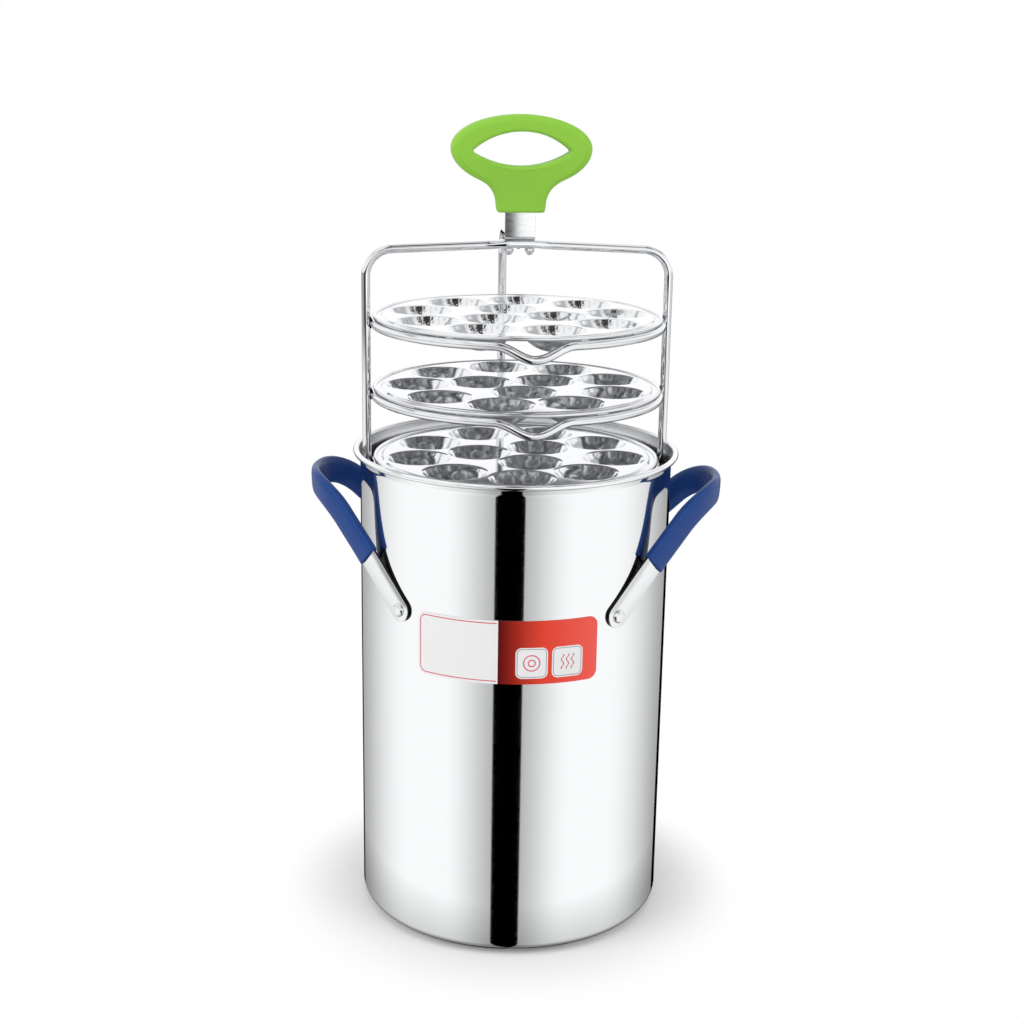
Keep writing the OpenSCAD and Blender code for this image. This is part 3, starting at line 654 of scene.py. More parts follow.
def mirror_steel(colour):
    """Stainless steel sheet, drawn and buffed to a mirror outside: sharp reflections, with faint
    lines round the wall left by the buffing wheel. The inner wall is brushed satin, and its fine
    scratches scatter the light that falls into the pot."""
    material, tree, shader, place = metal("Mirror_Polished_Stainless", colour)
    # The wheel's lines are about 0.05 mm apart, and drawn 0.8 mm apart so that they show
    grained(tree, shader, place, (60 * MM, 60 * MM, 0.8 * MM), roughness=(0.035, 0.075),
            depth=0.0004 * MM)
    inside = facing_in(tree, place)
    buffed = shader.inputs["Roughness"].links[0].from_socket
    rough = add(tree, "ShaderNodeMix", {0: inside, 2: buffed, 3: 0.26})
    metallic = add(tree, "ShaderNodeMix", {0: inside, 2: 1.0, 3: 0.80})
    tree.links.new(rough.outputs[0], shader.inputs["Roughness"])
    tree.links.new(metallic.outputs[0], shader.inputs["Metallic"])
    return material


def spun_steel(colour):
    """Stainless steel faced on a lathe: satin, with fine rings about the middle."""
    material, tree, shader, place = metal("Lathe_Turned_Stainless", colour)
    flat = add(tree, "ShaderNodeVectorMath", {0: place, 1: (1.0, 1.0, 0.0)}, operation="MULTIPLY")
    radius = add(tree, "ShaderNodeVectorMath", {0: flat.outputs[0]}, operation="LENGTH")
    across = add(tree, "ShaderNodeCombineXYZ", {"X": radius.outputs["Value"]})
    # The tool's rings are about 0.1 mm apart, and drawn 0.5 mm apart so that they show
    grained(tree, shader, across.outputs[0], 0.5 * MM, roughness=(0.22, 0.38), depth=0.02 * MM)
    return material


def strip_steel(colour):
    """Stainless steel strip, polished after bending: bright, a little softer than a mirror."""
    material, tree, shader, place = metal("Polished_Stainless_Strip", colour)
    # The belt's lines are about 0.1 mm apart, and drawn 1.2 mm apart so that they show
    grained(tree, shader, place, (12 * MM, 12 * MM, 1.2 * MM), roughness=(0.18, 0.24),
            depth=0.0002 * MM)
    return material


def strap_steel(colour):
    """Stainless steel strip for the side handles: polished outside, with painted shade on its edges and its
    inner face, which are given a dark colour and a rougher finish."""
    material, tree, shader, place = metal("Stainless_Strip_Painted_Dark_Edges", colour)
    # The belt's lines are about 0.1 mm apart, and drawn 1.2 mm apart so that they show
    grained(tree, shader, place, (12 * MM, 12 * MM, 1.2 * MM), roughness=(0.10, 0.17),
            depth=0.002 * MM)
    # Painted shade: faces that turn away from outward, the edges and the inner face, are darkened
    inside = facing_in(tree, place, start=0.45, end=0.15)
    polished = shader.inputs["Roughness"].links[0].from_socket
    rough = add(tree, "ShaderNodeMix", {0: inside, 2: polished, 3: 0.42})
    # The dark colour of the painted shade on the edges and the inner face
    tint = add(tree, "ShaderNodeMix", {0: inside, 6: colour, 7: srgb("232427")}, data_type="RGBA")
    tree.links.new(rough.outputs[0], shader.inputs["Roughness"])
    tree.links.new(tint.outputs[2], shader.inputs["Base Color"])
    return material


def rivet_steel(colour):
    """Headed stainless rivet: bright, with the faint dimples of the setting tool."""
    material, tree, shader, place = metal("Set_Stainless_Rivet", colour)
    grained(tree, shader, place, 1.5 * MM, roughness=(0.08, 0.16), depth=0.02 * MM)
    return material


def wire_steel(colour):
    """Electropolished stainless wire: bright, with a soft ripple from drawing and bending."""
    material, tree, shader, place = metal("Electropolished_Stainless_Wire", colour)
    grained(tree, shader, place, 7 * MM, roughness=(0.03, 0.07), depth=0.012 * MM)
    return material


def weld_steel(colour):
    """Resistance weld on stainless wire: a small dark bead, tinted by heat."""
    material, tree, shader, place = metal("Heat_Tinted_Weld", colour)
    grained(tree, shader, place, 0.8 * MM, roughness=(0.30, 0.50), depth=0.08 * MM)
    return material


def pressed_steel(colour):
    """Stainless sheet, pressed and polished: a mirror on the flat field, and a slight orange peel in the
    cups, where the sheet was stretched. Its downward faces are satin, and they are tinted darker as painted
    shade."""
    material, tree, shader, place = metal("Pressed_Polished_Stainless", colour)
    haze = add(tree, "ShaderNodeTexNoise", {"Vector": place, "Scale": 1 / (25 * MM), "Detail": 3.0})
    rough = add(tree, "ShaderNodeMapRange", {"Value": haze.outputs[0], 1: 0.3, 2: 0.7, 3: 0.05, 4: 0.10})
    # The back of the sheet is left as it was rolled, which is satin; it is also tinted darker, as painted
    # shade
    side = add(tree, "ShaderNodeSeparateXYZ", {0: add(tree, "ShaderNodeNewGeometry").outputs["True Normal"]})
    back = add(tree, "ShaderNodeMath", {0: side.outputs["Z"], 1: -0.2}, operation="LESS_THAN")
    both = add(tree, "ShaderNodeMath", {0: back.outputs[0], 1: 0.22, 2: rough.outputs[0]},
               operation="MULTIPLY_ADD")
    cup = add(tree, "ShaderNodeAttribute", attribute_name="pressed")
    dull = add(tree, "ShaderNodeMath", {0: cup.outputs["Fac"], 1: 0.025, 2: both.outputs[0]},
               operation="MULTIPLY_ADD")
    tree.links.new(dull.outputs[0], shader.inputs["Roughness"])
    # Painted shade: the downward faces are tinted darker
    tint = add(tree, "ShaderNodeMix", {0: back.outputs[0], 6: colour, 7: srgb("D6D7D9")}, data_type="RGBA")
    tree.links.new(tint.outputs[2], shader.inputs["Base Color"])
    # The peel's dimples are 1 to 2 mm wide, and drawn 8 mm wide so that they show
    peel = add(tree, "ShaderNodeTexNoise", {"Vector": place, "Scale": 1 / (8 * MM), "Detail": 1.0})
    height = add(tree, "ShaderNodeMath", {0: peel.outputs[0], 1: cup.outputs["Fac"]}, operation="MULTIPLY")
    relief = add(tree, "ShaderNodeBump", {"Height": height.outputs[0], "Distance": 0.07 * MM})
    tree.links.new(relief.outputs[0], shader.inputs["Normal"])
    return material


def plated_steel(colour):
    """Nickel-plated machine screws and dome nuts: bright, with soft turning marks."""
    material, tree, shader, place = metal("Nickel_Plated_Steel", colour)
    # The turning marks are under 0.1 mm apart, and drawn 0.3 mm apart so that they show
    grained(tree, shader, place, (2 * MM, 2 * MM, 0.3 * MM), roughness=(0.12, 0.22), depth=0.005 * MM)
    return material


def moulded_silicone(name, colour, roughness, gloss):
    """Silicone rubber moulded in a spark-eroded tool: satin, with a very fine even grain."""
    material, tree, shader, place = new_material(name)
    # The tool's grain is about 0.1 mm wide, and drawn 0.45 mm wide so that it shows
    grained(tree, shader, place, 0.45 * MM, roughness, depth=0.012 * MM, detail=2.0)
    tone = add(tree, "ShaderNodeTexNoise", {"Vector": place, "Scale": 1 / (30 * MM), "Detail": 2.0})
    shade = add(tree, "ShaderNodeMapRange", {"Value": tone.outputs[0], 3: 0.94, 4: 1.04})
    tint = add(tree, "ShaderNodeHueSaturation", {"Color": colour, "Value": shade.outputs[0]})
    tree.links.new(tint.outputs[0], shader.inputs["Base Color"])
    shader.inputs["IOR"].default_value = 1.43
    shader.inputs["Specular IOR Level"].default_value = gloss
    return material


def box_distance(tree, place, centre, half, radius):
    """Distance in millimetres from a rounded box on the label, less than 0 inside it."""
    from_centre = add(tree, "ShaderNodeVectorMath", {0: place, 1: (*centre, 0.0)}, operation="SUBTRACT")
    folded = add(tree, "ShaderNodeVectorMath", {0: from_centre.outputs[0]}, operation="ABSOLUTE")
    core = (half[0] - radius, half[1] - radius, 0.0)
    past = add(tree, "ShaderNodeVectorMath", {0: folded.outputs[0], 1: core}, operation="SUBTRACT")
    outside = add(tree, "ShaderNodeVectorMath", {0: past.outputs[0], 1: (0.0, 0.0, 0.0)},
                  operation="MAXIMUM")
    far = add(tree, "ShaderNodeVectorMath", {0: outside.outputs[0]}, operation="LENGTH")
    parts = add(tree, "ShaderNodeSeparateXYZ", {0: past.outputs[0]})
    most = add(tree, "ShaderNodeMath", {0: parts.outputs["X"], 1: parts.outputs["Y"]}, operation="MAXIMUM")
    inside = add(tree, "ShaderNodeMath", {0: most.outputs[0], 1: 0.0}, operation="MINIMUM")
    total = add(tree, "ShaderNodeMath", {0: far.outputs["Value"], 1: inside.outputs[0]}, operation="ADD")
    return add(tree, "ShaderNodeMath", {0: total.outputs[0], 1: radius}, operation="SUBTRACT").outputs[0]


def over(tree, under, colour, distance, low, high):
    """Prints a colour over another where a distance lies between two values, in millimetres."""
    middle, half = (low + high) / 2, (high - low) / 2
    here = add(tree, "ShaderNodeMath", {0: distance, 1: middle, 2: half}, operation="COMPARE")
    mix = add(tree, "ShaderNodeMix", {0: here.outputs[0], 6: under, 7: colour}, data_type="RGBA")
    return mix.outputs[2]


def printed_film(settings):
    """Glossy printed label film: a light field with a thin outline, and a red field with two
    light tiles that hold a plain ring and plain wavy lines."""
    material, tree, shader, place = new_material("Printed_Label_Film")
    s = settings.label
    half_w = label_arc(settings) / 2 / MM
    half_h = s.height / 2 / MM
    corner = s.corner / MM
    split = s.split / MM
    # The label's own coordinates, in millimetres from its middle
    flat = add(tree, "ShaderNodeUVMap", uv_map="label")
    centred = add(tree, "ShaderNodeVectorMath", {0: flat.outputs[0], 1: (0.5, 0.5, 0.0)},
                  operation="SUBTRACT")
    sized = add(tree, "ShaderNodeVectorMath", {0: centred.outputs[0], 1: (2 * half_w, 2 * half_h, 0.0)},
                operation="MULTIPLY").outputs[0]
    x = add(tree, "ShaderNodeSeparateXYZ", {0: sized}).outputs["X"]
    ink = over(tree, s.white, s.line,
               box_distance(tree, sized, (0.0, 0.0), (half_w, half_h), corner), -2.2, -1.5)
    red_share = add(tree, "ShaderNodeMapRange", {"Value": x, 1: split, 2: half_w})
    red = add(tree, "ShaderNodeValToRGB", {0: red_share.outputs[0]})
    ramp = red.color_ramp.elements
    ramp[0].color, ramp[1].color = s.dark_red, s.light_red
    ramp.new(0.45).color = s.mid_red
    ink = over(tree, ink, s.white, x, split - 0.8, split)
    ink = over(tree, ink, red.outputs[0], x, split, half_w + 1)
    tile_half, tile_corner, tile_z = 10.4, 4.0, -7.0
    stroke, pitch = 0.4, 3.4
    grey = srgb("8C8F93")
    for number, middle in enumerate((16.4, 39.9)):
        edge = box_distance(tree, sized, (middle, tile_z), (tile_half, tile_half), tile_corner)
        ink = over(tree, ink, s.white, edge, -tile_half - 1, 0)
        ink = over(tree, ink, grey, edge, -1.3, -0.8)
        from_tile = add(tree, "ShaderNodeVectorMath", {0: sized, 1: (middle, tile_z, 0.0)},
                        operation="SUBTRACT")
        if number == 0:
            ring = add(tree, "ShaderNodeVectorMath", {0: from_tile.outputs[0]}, operation="LENGTH")
            for radius in (2.2, 5.2):
                ink = over(tree, ink, s.line, ring.outputs["Value"], radius - stroke, radius + stroke)
            continue
        part = add(tree, "ShaderNodeSeparateXYZ", {0: from_tile.outputs[0]})
        phase = add(tree, "ShaderNodeMath", {0: part.outputs["Y"], 1: 1.1}, operation="MULTIPLY")
        sway = add(tree, "ShaderNodeMath", {0: phase.outputs[0]}, operation="SINE")
        bent = add(tree, "ShaderNodeMath", {0: sway.outputs[0], 1: 0.8, 2: part.outputs["X"]},
                   operation="MULTIPLY_ADD")
        # Three lines, one pitch apart, that end 5 mm above and below the tile's middle
        fold = add(tree, "ShaderNodeMath", {0: bent.outputs[0], 1: pitch / 2, 2: -pitch / 2},
                   operation="WRAP")
        field = box_distance(tree, sized, (middle, tile_z), (5.1, 5.0), 0.5)
        outside = add(tree, "ShaderNodeMath", {0: field, 1: 0.0}, operation="GREATER_THAN")
        away = add(tree, "ShaderNodeMath", {0: outside.outputs[0], 1: 5.0, 2: fold.outputs[0]},
                   operation="MULTIPLY_ADD")
        ink = over(tree, ink, s.line, away.outputs[0], -stroke, stroke)
    tree.links.new(ink, shader.inputs["Base Color"])
    # The film lies in long, very shallow waves over its glue
    grained(tree, shader, place, 40 * MM, roughness=(0.24, 0.28), depth=0.001 * MM)
    shader.inputs["Specular IOR Level"].default_value = 0.25
    shader.inputs["Coat Weight"].default_value = 0.12
    shader.inputs["Coat Roughness"].default_value = 0.08
    return material


# Pot

def pot_radius(p):
    """Radius of the pot's wall."""
    return p.rim_r - p.bead_out


def build_pot(settings):
    """Turns the pot: floor, rounded corner, wall, flare and rolled rim, inside and out."""
    p = settings.pot
    wall_r, bead_r = pot_radius(p), p.bead / 2
    bead = (p.rim_r - bead_r, p.height - bead_r)
    flare_z = bead[1] - p.flare
    # The curl starts under the bead, close to the wall, and ends inside the mouth
    curl = arc(bead, bead_r, -118, 196, 40)
    outside = rounded([(0, p.disc), (wall_r, p.disc), (wall_r, flare_z), curl[0]], [p.corner, 6 * MM], 12)
    inside = rounded([curl[-1], (wall_r - p.wall, flare_z), (wall_r - p.wall, p.disc + p.wall),
                      (0, p.disc + p.wall)], [6 * MM, p.corner - p.wall], 12)
    shape = lathe(outside + curl[1:-1] + inside, 320)
    piece("Pot", shape, mirror_steel(p.steel), "pot", ["pot_shell"], sharp=40)


def build_base(settings):
    """Turns the base disc, with a rounded edge and shallow rings under it."""
    p = settings.pot
    groove_w, groove_h = 3 * MM, 0.4 * MM
    profile = [(0, p.disc), (p.disc_r, p.disc), (p.disc_r, 0)]
    for share in (0.82, 0.55, 0.28):
        r = share * p.disc_r
        profile += [(r + groove_w, 0), (r + groove_w / 2, groove_h),
                    (r - groove_w / 2, groove_h), (r - groove_w, 0)]
    profile.append((0, 0))
    edge = [0.2 * MM, 0.8 * MM] + [0.3 * MM] * (len(profile) - 4)
    shape = lathe(rounded(profile, edge, 4), 200)
    piece("Base_Disc", shape, spun_steel(p.base_steel), "pot", ["base_disc"])


def label_radius(settings):
    """Radius of the label's outer face."""
    return pot_radius(settings.pot) + settings.label.glue + settings.label.thickness


def label_arc(settings):
    """Length of the label along the wall."""
    outer_r = label_radius(settings)
    return 2 * outer_r * math.asin(settings.label.width / 2 / outer_r)


def build_label(settings):
    """Wraps the label's film round the wall, with rounded corners and its own flat coordinates."""
    s = settings.label
    outer_r, wide = label_radius(settings), label_arc(settings)
    # Even columns between the corners, and closer ones through the corners' curves
    columns, rows = 96, 8
    inner_half = wide / 2 - s.corner
    across = [inner_half * (2 * k / columns - 1) for k in range(columns + 1)]
    ends = [s.corner * math.sin(math.radians(t)) for t in (15, 30, 45, 58, 70, 80, 87)]
    across = [-inner_half - e for e in reversed(ends)] + across + [inner_half + e for e in ends]
    front, back, flat = [], [], []
    for u in across:
        past = max(abs(u) - inner_half, 0)
        half = s.height / 2 - s.corner + math.sqrt(max(s.corner ** 2 - past ** 2, 0))
        turn = u / outer_r - math.pi / 2
        for row in range(rows + 1):
            z = half * (2 * row / rows - 1)
            for side, r in ((front, outer_r), (back, outer_r - s.thickness)):
                side.append(Vector((r * math.cos(turn), r * math.sin(turn), s.centre_z + z)))
            flat.append((u / wide + 0.5, z / s.height + 0.5))
    n, m, total = rows + 1, len(across), len(front)
    faces = [(i * n + j, (i + 1) * n + j, (i + 1) * n + j + 1, i * n + j + 1)
             for i in range(m - 1) for j in range(rows)]
    faces += [tuple(total + k for k in reversed(face)) for face in faces]
    border = ([i * n for i in range(m)] + [(m - 1) * n + j for j in range(1, n)]
              + [i * n + rows for i in range(m - 2, -1, -1)] + list(range(rows - 1, 0, -1)))
    faces += [(a, total + a, total + b, b) for a, b in zip(border, border[1:] + border[:1])]
    mesh = new_mesh("Label", (front + back, faces))
    layer = mesh.uv_layers.new(name="label")
    for loop in mesh.loops:
        layer.data[loop.index].uv = flat[loop.vertex_index % total]
    dress(new_object("Label", mesh), printed_film(settings), "pot", ["label_sticker"])


# Side handles

class Loop:
    """The middle surface of a handle's loop. Seen from above it is a level bend with two
    straight legs that lie flat against the wall; seen from the side the legs fall away from
    a level top over round shoulders."""

    def __init__(self, settings):
        h = settings.handles
        self.h = h
        wall_r = pot_radius(settings.pot)
        reach, flat = wall_r + h.reach, wall_r + STRAP_GAP + h.strap_t / 2
        # From above: one bend from rivet to rivet, which ends flat against the wall
        self.bend_r = (flat - reach * math.cos(h.rivet_angle)) / (1 - math.cos(h.rivet_angle))
        self.bend_x = reach - self.bend_r
        self.bend_len = self.bend_r * h.rivet_angle
        # From the side: a level top, a shoulder, and a straight slope down to the rivet
        half_loop = self.bend_len + self.bend_x * math.sin(h.rivet_angle)
        fall = Vector((half_loop - h.level, h.shoulder_r - h.rise))
        self.slope = math.atan2(fall.x, fall.y) - math.acos(h.shoulder_r / fall.length)
        self.shoulder_len = h.shoulder_r * self.slope
        self.rivet_at = h.level + self.shoulder_len + math.sqrt(fall.length ** 2 - h.shoulder_r ** 2)

    def point(self, along, across, through):
        """A point of the loop, by its length along the strap, across it and through it."""
        h, side = self.h, math.copysign(1, along)
        far = abs(along)
        turn = min(max(far - h.level, 0), self.shoulder_len) / h.shoulder_r
        past = max(far - h.level - self.shoulder_len, 0)
        plan = side * (min(far, h.level) + h.shoulder_r * math.sin(turn) + past * math.cos(turn)
                       + across * math.sin(turn))
        up = h.rise - h.shoulder_r * (1 - math.cos(turn)) - past * math.sin(turn) + across * math.cos(turn)
        bend = math.copysign(min(abs(plan), self.bend_len) / self.bend_r, plan)
        out = Vector((math.cos(bend), math.sin(bend), 0))
        on = math.copysign(max(abs(plan) - self.bend_len, 0), plan) * Vector((-out.y, out.x, 0))
        lean = Vector((max(up - h.lean_from, 0) * math.tan(h.lean), 0, h.rivet_z + up))
        return Vector((self.bend_x, 0, 0)) + self.bend_r * out + on + through * out + lean

    def ring(self, along, section):
        """A section of the strap or sleeve at a length along the loop."""
        return [self.point(along, a, b) for a, b in section]


def half_turn(side):
    """The left handle is the right one turned half way round."""
    return Matrix.Rotation(math.pi if side == "left" else 0, 4, "Z")


def build_handles(settings):
    """Bends the two steel straps and draws the soft sleeves over them."""
    loop, h = Loop(settings), settings.handles
    edge = 0.35 * MM
    steps = 150
    stops = [(loop.rivet_at * (2 * k / steps - 1), h.strap_w) for k in range(steps + 1)]
    # Each end is a half circle round its rivet
    for turn in range(8, 89, 8):
        t = math.radians(turn)
        tip = (loop.rivet_at + h.strap_w / 2 * math.sin(t), h.strap_w * math.cos(t))
        stops = [(-tip[0], tip[1])] + stops + [tip]
    strap = skin([loop.ring(l, round_section(w, h.strap_t, min(edge, 0.45 * w), 2)) for l, w in stops])
    sleeve = sleeve_shape(loop, h)
    strap_finish_with_painted_shade = strap_steel(h.strap_steel)
    silicone = moulded_silicone("Moulded_Blue_Silicone", h.silicone, roughness=(0.30, 0.38), gloss=0.36)
    for side in SIDES:
        turn = half_turn(side)
        piece(side.title() + "_Strap", moved(strap, turn), strap_finish_with_painted_shade, "pot",
              [side + "_handle_strap"], sharp=28)
        piece(side.title() + "_Sleeve", moved(sleeve, turn), silicone, "pot",
              [side + "_handle_sleeve"], sharp=50)


def sleeve_shape(loop, h):
    """The sleeve: a crowned outer skin with soft lips at both ends, and the bore of the strap."""
    lip, steps = 1.2 * MM, 110
    half = h.sleeve_len / 2
    outer = [(half - lip + lip * math.sin(math.radians(t)), lip * (1 - math.cos(math.radians(t))))
             for t in (0, 18, 36, 54, 72, 90)]
    stops = [(-l, inset) for l, inset in reversed(outer)]
    stops += [((half - lip) * (2 * k / steps - 1), 0) for k in range(1, steps)] + outer
    rings = [loop.ring(l, crowned_section(h.sleeve_w - 2 * inset, h.sleeve_t - 2 * inset, 3.2))
             for l, inset in stops]
    bore = crowned_section(h.strap_w + 0.2 * MM, h.strap_t + 0.2 * MM, 12)
    rings += [loop.ring(l, bore) for l, inset in reversed(stops) if inset == 0 or inset == lip]
    return skin(rings, closed=True)


def build_rivets(settings):
    """Sets the four rivets, each with a crowned head outside and a flat one inside."""
    p, h = settings.pot, settings.handles
    # Heights from the wall's outer face: the foot lies inside the pot, the head on the strap
    seat, top = h.strap_t + STRAP_GAP, h.strap_t + STRAP_GAP + h.rivet_h
    foot = -p.wall - 0.1 * MM
    low = foot - 1 * MM
    head_r, foot_r, shank_r = h.rivet_d / 2, h.foot_d / 2, 2.25 * MM
    profile = [(0, low), (foot_r, low), (foot_r, foot), (shank_r, foot), (shank_r, seat),
               (head_r, seat), (head_r, seat + 0.9 * MM), (0.72 * head_r, top - 0.25 * MM), (0, top)]
    radii = [0.5 * MM, 0.1 * MM, 0, 0, 0.2 * MM, 0.7 * MM, 0.5 * MM]
    shape = lathe(rounded(profile, radii, 5), 48)
    angles = [h.rivet_angle, math.pi - h.rivet_angle, math.pi + h.rivet_angle, -h.rivet_angle]
    wall_r = pot_radius(p)
    places = [(wall_r * math.cos(a), wall_r * math.sin(a), h.rivet_z) for a in angles]
    turns = [(0, math.pi / 2, a) for a in angles]
    nodes = [f"{side}_{end}_rivet" for side in SIDES for end in ("front", "rear")]
    fasteners("Rivets", shape, places, turns, rivet_steel(h.rivet_steel), "pot", "rivet_steel", nodes)


# Rack

def upright_radius(settings):
    """Distance of the rack's uprights from the pot's axis."""
    p, r = settings.pot, settings.rack
    return pot_radius(p) - p.wall - r.gap - r.wire / 2


def rack_turn(settings):
    """The turn of the rack inside the pot, as a matrix."""
    return Matrix.Rotation(settings.rack.turn, 4, "Z")


def ring_level(settings, tier):
    """Height of the middle of a ring's wire."""
    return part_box(tier + "_ring")[1].z - settings.rack.wire / 2


def pad_height(settings):
    """Height of the middle of the flattened pad on the hoop's bar."""
    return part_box("rack_hoop")[1].z - settings.rack.pad_t / 2


def bar_slope(settings):
    """How much the hoop's bar falls for each metre from its middle."""
    r = settings.rack
    return r.bar_rise / (upright_radius(settings) - r.bend)


def pressed_flat(point, settings, top):
    """Presses the round wire of the bar flat and wide at its middle."""
    r = settings.rack
    # The press fades out from 9 mm inside each end of the pad to 5 mm past it
    share = 1 - smoothstep(r.pad_len / 2 - 9 * MM, r.pad_len / 2 + 5 * MM, abs(point.x))
    if share == 0:
        return point
    fall = abs(point.x) * bar_slope(settings)
    line, middle = top - fall * (1 - share), top - fall
    y, z = point.y / (r.wire / 2), (point.z - middle) / (r.wire / 2)
    turn = math.atan2(z, y)
    flat = Vector((point.x, r.pad_w / 2 * math.copysign(abs(math.cos(turn)) ** 0.5, y),
                   line + r.pad_t / 2 * math.copysign(abs(math.sin(turn)) ** 0.5, z)))
    return point.lerp(flat, share)


def build_wires(settings):
    """Bends the hoop and the back leg, and turns the three rings."""
    r = settings.rack
    finish = wire_steel(r.wire_steel)
    turn, reach, top = rack_turn(settings), upright_radius(settings), pad_height(settings)
    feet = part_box("rack_hoop")[0].z
    corner_z = top - reach * bar_slope(settings)
    bend_steps, bar_steps = 16, 40
    path = rounded([(-reach, 0, feet), (-reach, 0, corner_z), (0, 0, top), (reach, 0, corner_z),
                    (reach, 0, feet)], [r.bend, 0, r.bend], bend_steps)
    # More points on the bar, where the pad is pressed. Its middle follows the first bend
    at = bend_steps + 2
    first, middle, last = path[at - 1:at + 2]
    shares = [k / bar_steps for k in range(1, bar_steps)]
    path = (path[:at] + [first.lerp(middle, t) for t in shares] + [middle]
            + [middle.lerp(last, t) for t in shares] + path[at + 1:])
    points, faces = wire(path, r.wire, finish)
    hoop = ([pressed_flat(p, settings, top) for p in points], faces)
    piece("Rack_Hoop", moved(hoop, turn), finish, "rack", ["rack_hoop"], sharp=60)
    back = rounded([(0, reach, feet), (0, reach, top), (0, r.pad_w / 2 - r.weld, top)], [r.bend],
                   bend_steps)
    leg = wire(back, r.wire, finish, domed=(True, False))
    piece("Back_Leg", moved(leg, turn), finish, "rack", ["rack_back_leg"], sharp=60)
    for tier in TIERS:
        empty = new_object("Ring", bpy.data.meshes.new("Ring"))
        ring = shape_of(grow(empty, ring_tree(), {
            "Radius": reach - r.wire + r.weld, "Diameter": r.wire,
            "Dip width": r.dip_w, "Dip depth": r.dip_h,
            "Steps": 240, "Sides": WIRE_SIDES, "Material": finish}))
        place = turn @ Matrix.Translation((0, 0, ring_level(settings, tier)))
        piece(tier.title() + "_Ring", moved(ring, place), finish, "rack",
              [tier + "_ring"], sharp=60)


def build_welds(settings):
    """Sets a small bead where a ring meets an upright, and where the back leg meets the pad."""
    r = settings.rack
    bead_r, half_tall = 1.8 * MM, 2.3 * MM
    bead = lathe([(bead_r * math.sin(math.radians(t)), -half_tall * math.cos(math.radians(t)))
                  for t in range(0, 181, 15)], 16)
    # A bead is flat towards the pot's axis and long across it
    bead = moved(bead, Matrix.Diagonal((0.68, 1.2, 1.0, 1.0)))
    back, wires_meet = r.turn + math.pi / 2, upright_radius(settings) - r.wire / 2
    joints = [(wires_meet, math.radians(spin) + r.turn, ring_level(settings, tier))
              for tier in TIERS for spin in (0, 90, 180)]
    joints.append((r.pad_w / 2, back, pad_height(settings)))
    places, turns = [], []
    for at, a, level in joints:
        # One bead over the wires' line of contact, and one under it
        for side in (-1, 1):
            places.append((at * math.cos(a), at * math.sin(a), level + side * 1.6 * MM))
            turns.append((0, 0, a))
    fasteners("Weld_Beads", bead, places, turns, weld_steel(r.weld_steel), "rack", "wire_steel", [],
              sharp=60)


# Plates

def cup_sizes(p):
    """Radius of the outer and inner circle of cups, of a cup's mouth, and of the ball it is part of."""
    share = math.sin(math.pi / p.outer_cups)
    field = p.radius - p.flange
    outer = (field - p.rim_land + p.cup_land / 2) / (1 + share)
    mouth = outer * share - p.cup_land / 2
    inner = (2 * mouth + p.inner_land) / (2 * math.sin(math.pi / p.inner_cups))
    ball = (mouth ** 2 + p.cup_h ** 2) / (2 * p.cup_h)
    return outer, inner, mouth, ball


def cup_shape(p):
    """The inside of one cup, from its steam holes out over its rounded lip to the flat field, and
    the radius of its edge there."""
    *_, ball = cup_sizes(p)
    centre = ball - p.cup_h
    lip = math.sqrt((ball + p.mouth) ** 2 - (centre + p.mouth) ** 2)
    edge = Vector((lip, -p.mouth - centre)) * ball / (ball + p.mouth)
    floor_r, weld_r = p.hole_r + 3.5 * MM, lip + 0.1 * MM

    def bowl(r):
        """Height of the bowl at a radius."""
        return centre - math.sqrt(ball ** 2 - r ** 2)

    wall_rings = 12
    profile = [(floor_r + (edge.x - floor_r) * k / wall_rings, 0) for k in range(wall_rings)]
    profile = [(r, bowl(r)) for r, _ in profile]
    start = math.degrees(math.atan2(edge.y + centre + p.mouth, edge.x - lip))
    profile += [tuple(q) for q in arc((lip, -p.mouth), p.mouth, start, 90, 6)]
    profile.append((weld_r, 0))
    wall = lathe(profile, CUP_STEPS)
    middles = [Vector((0, 0))] + circle((0, 0), p.hole_r, p.holes)
    holes = [circle(m, p.hole_d / 2, 14) for m in middles]
    # Points between the holes, which keep the floor's triangles even
    around = [q for m in middles for q in circle(m, p.hole_d / 2 + 0.35 * MM, 14)]
    around += circle((0, 0), 3.6 * MM, 20) + circle((0, 0), floor_r - 1.2 * MM, 36)
    flat, faces = fill(circle((0, 0), floor_r, CUP_STEPS), holes, around)
    floor = ([Vector((q.x, q.y, bowl(q.length))) for q in flat], faces)
    return joined(floor, wall), weld_r


def plate_rim(p):
    """Profile from the edge of the cups' field over the step and the flange, round the rolled edge."""
    field = p.radius - p.flange
    top = p.step + p.sheet
    edge = (p.radius - p.edge / 2, p.edge / 2)
    start = 180 + math.degrees(math.asin((p.edge / 2 - p.sheet) / (p.edge / 2)))
    curl = arc(edge, p.edge / 2, start, -115, 20)
    path = [(field - p.step - 1.6 * MM, top), (field - p.step, top), (field, p.sheet), curl[0]]
    return rounded(path, [1.1 * MM, 0.8 * MM], 6) + curl[1:]


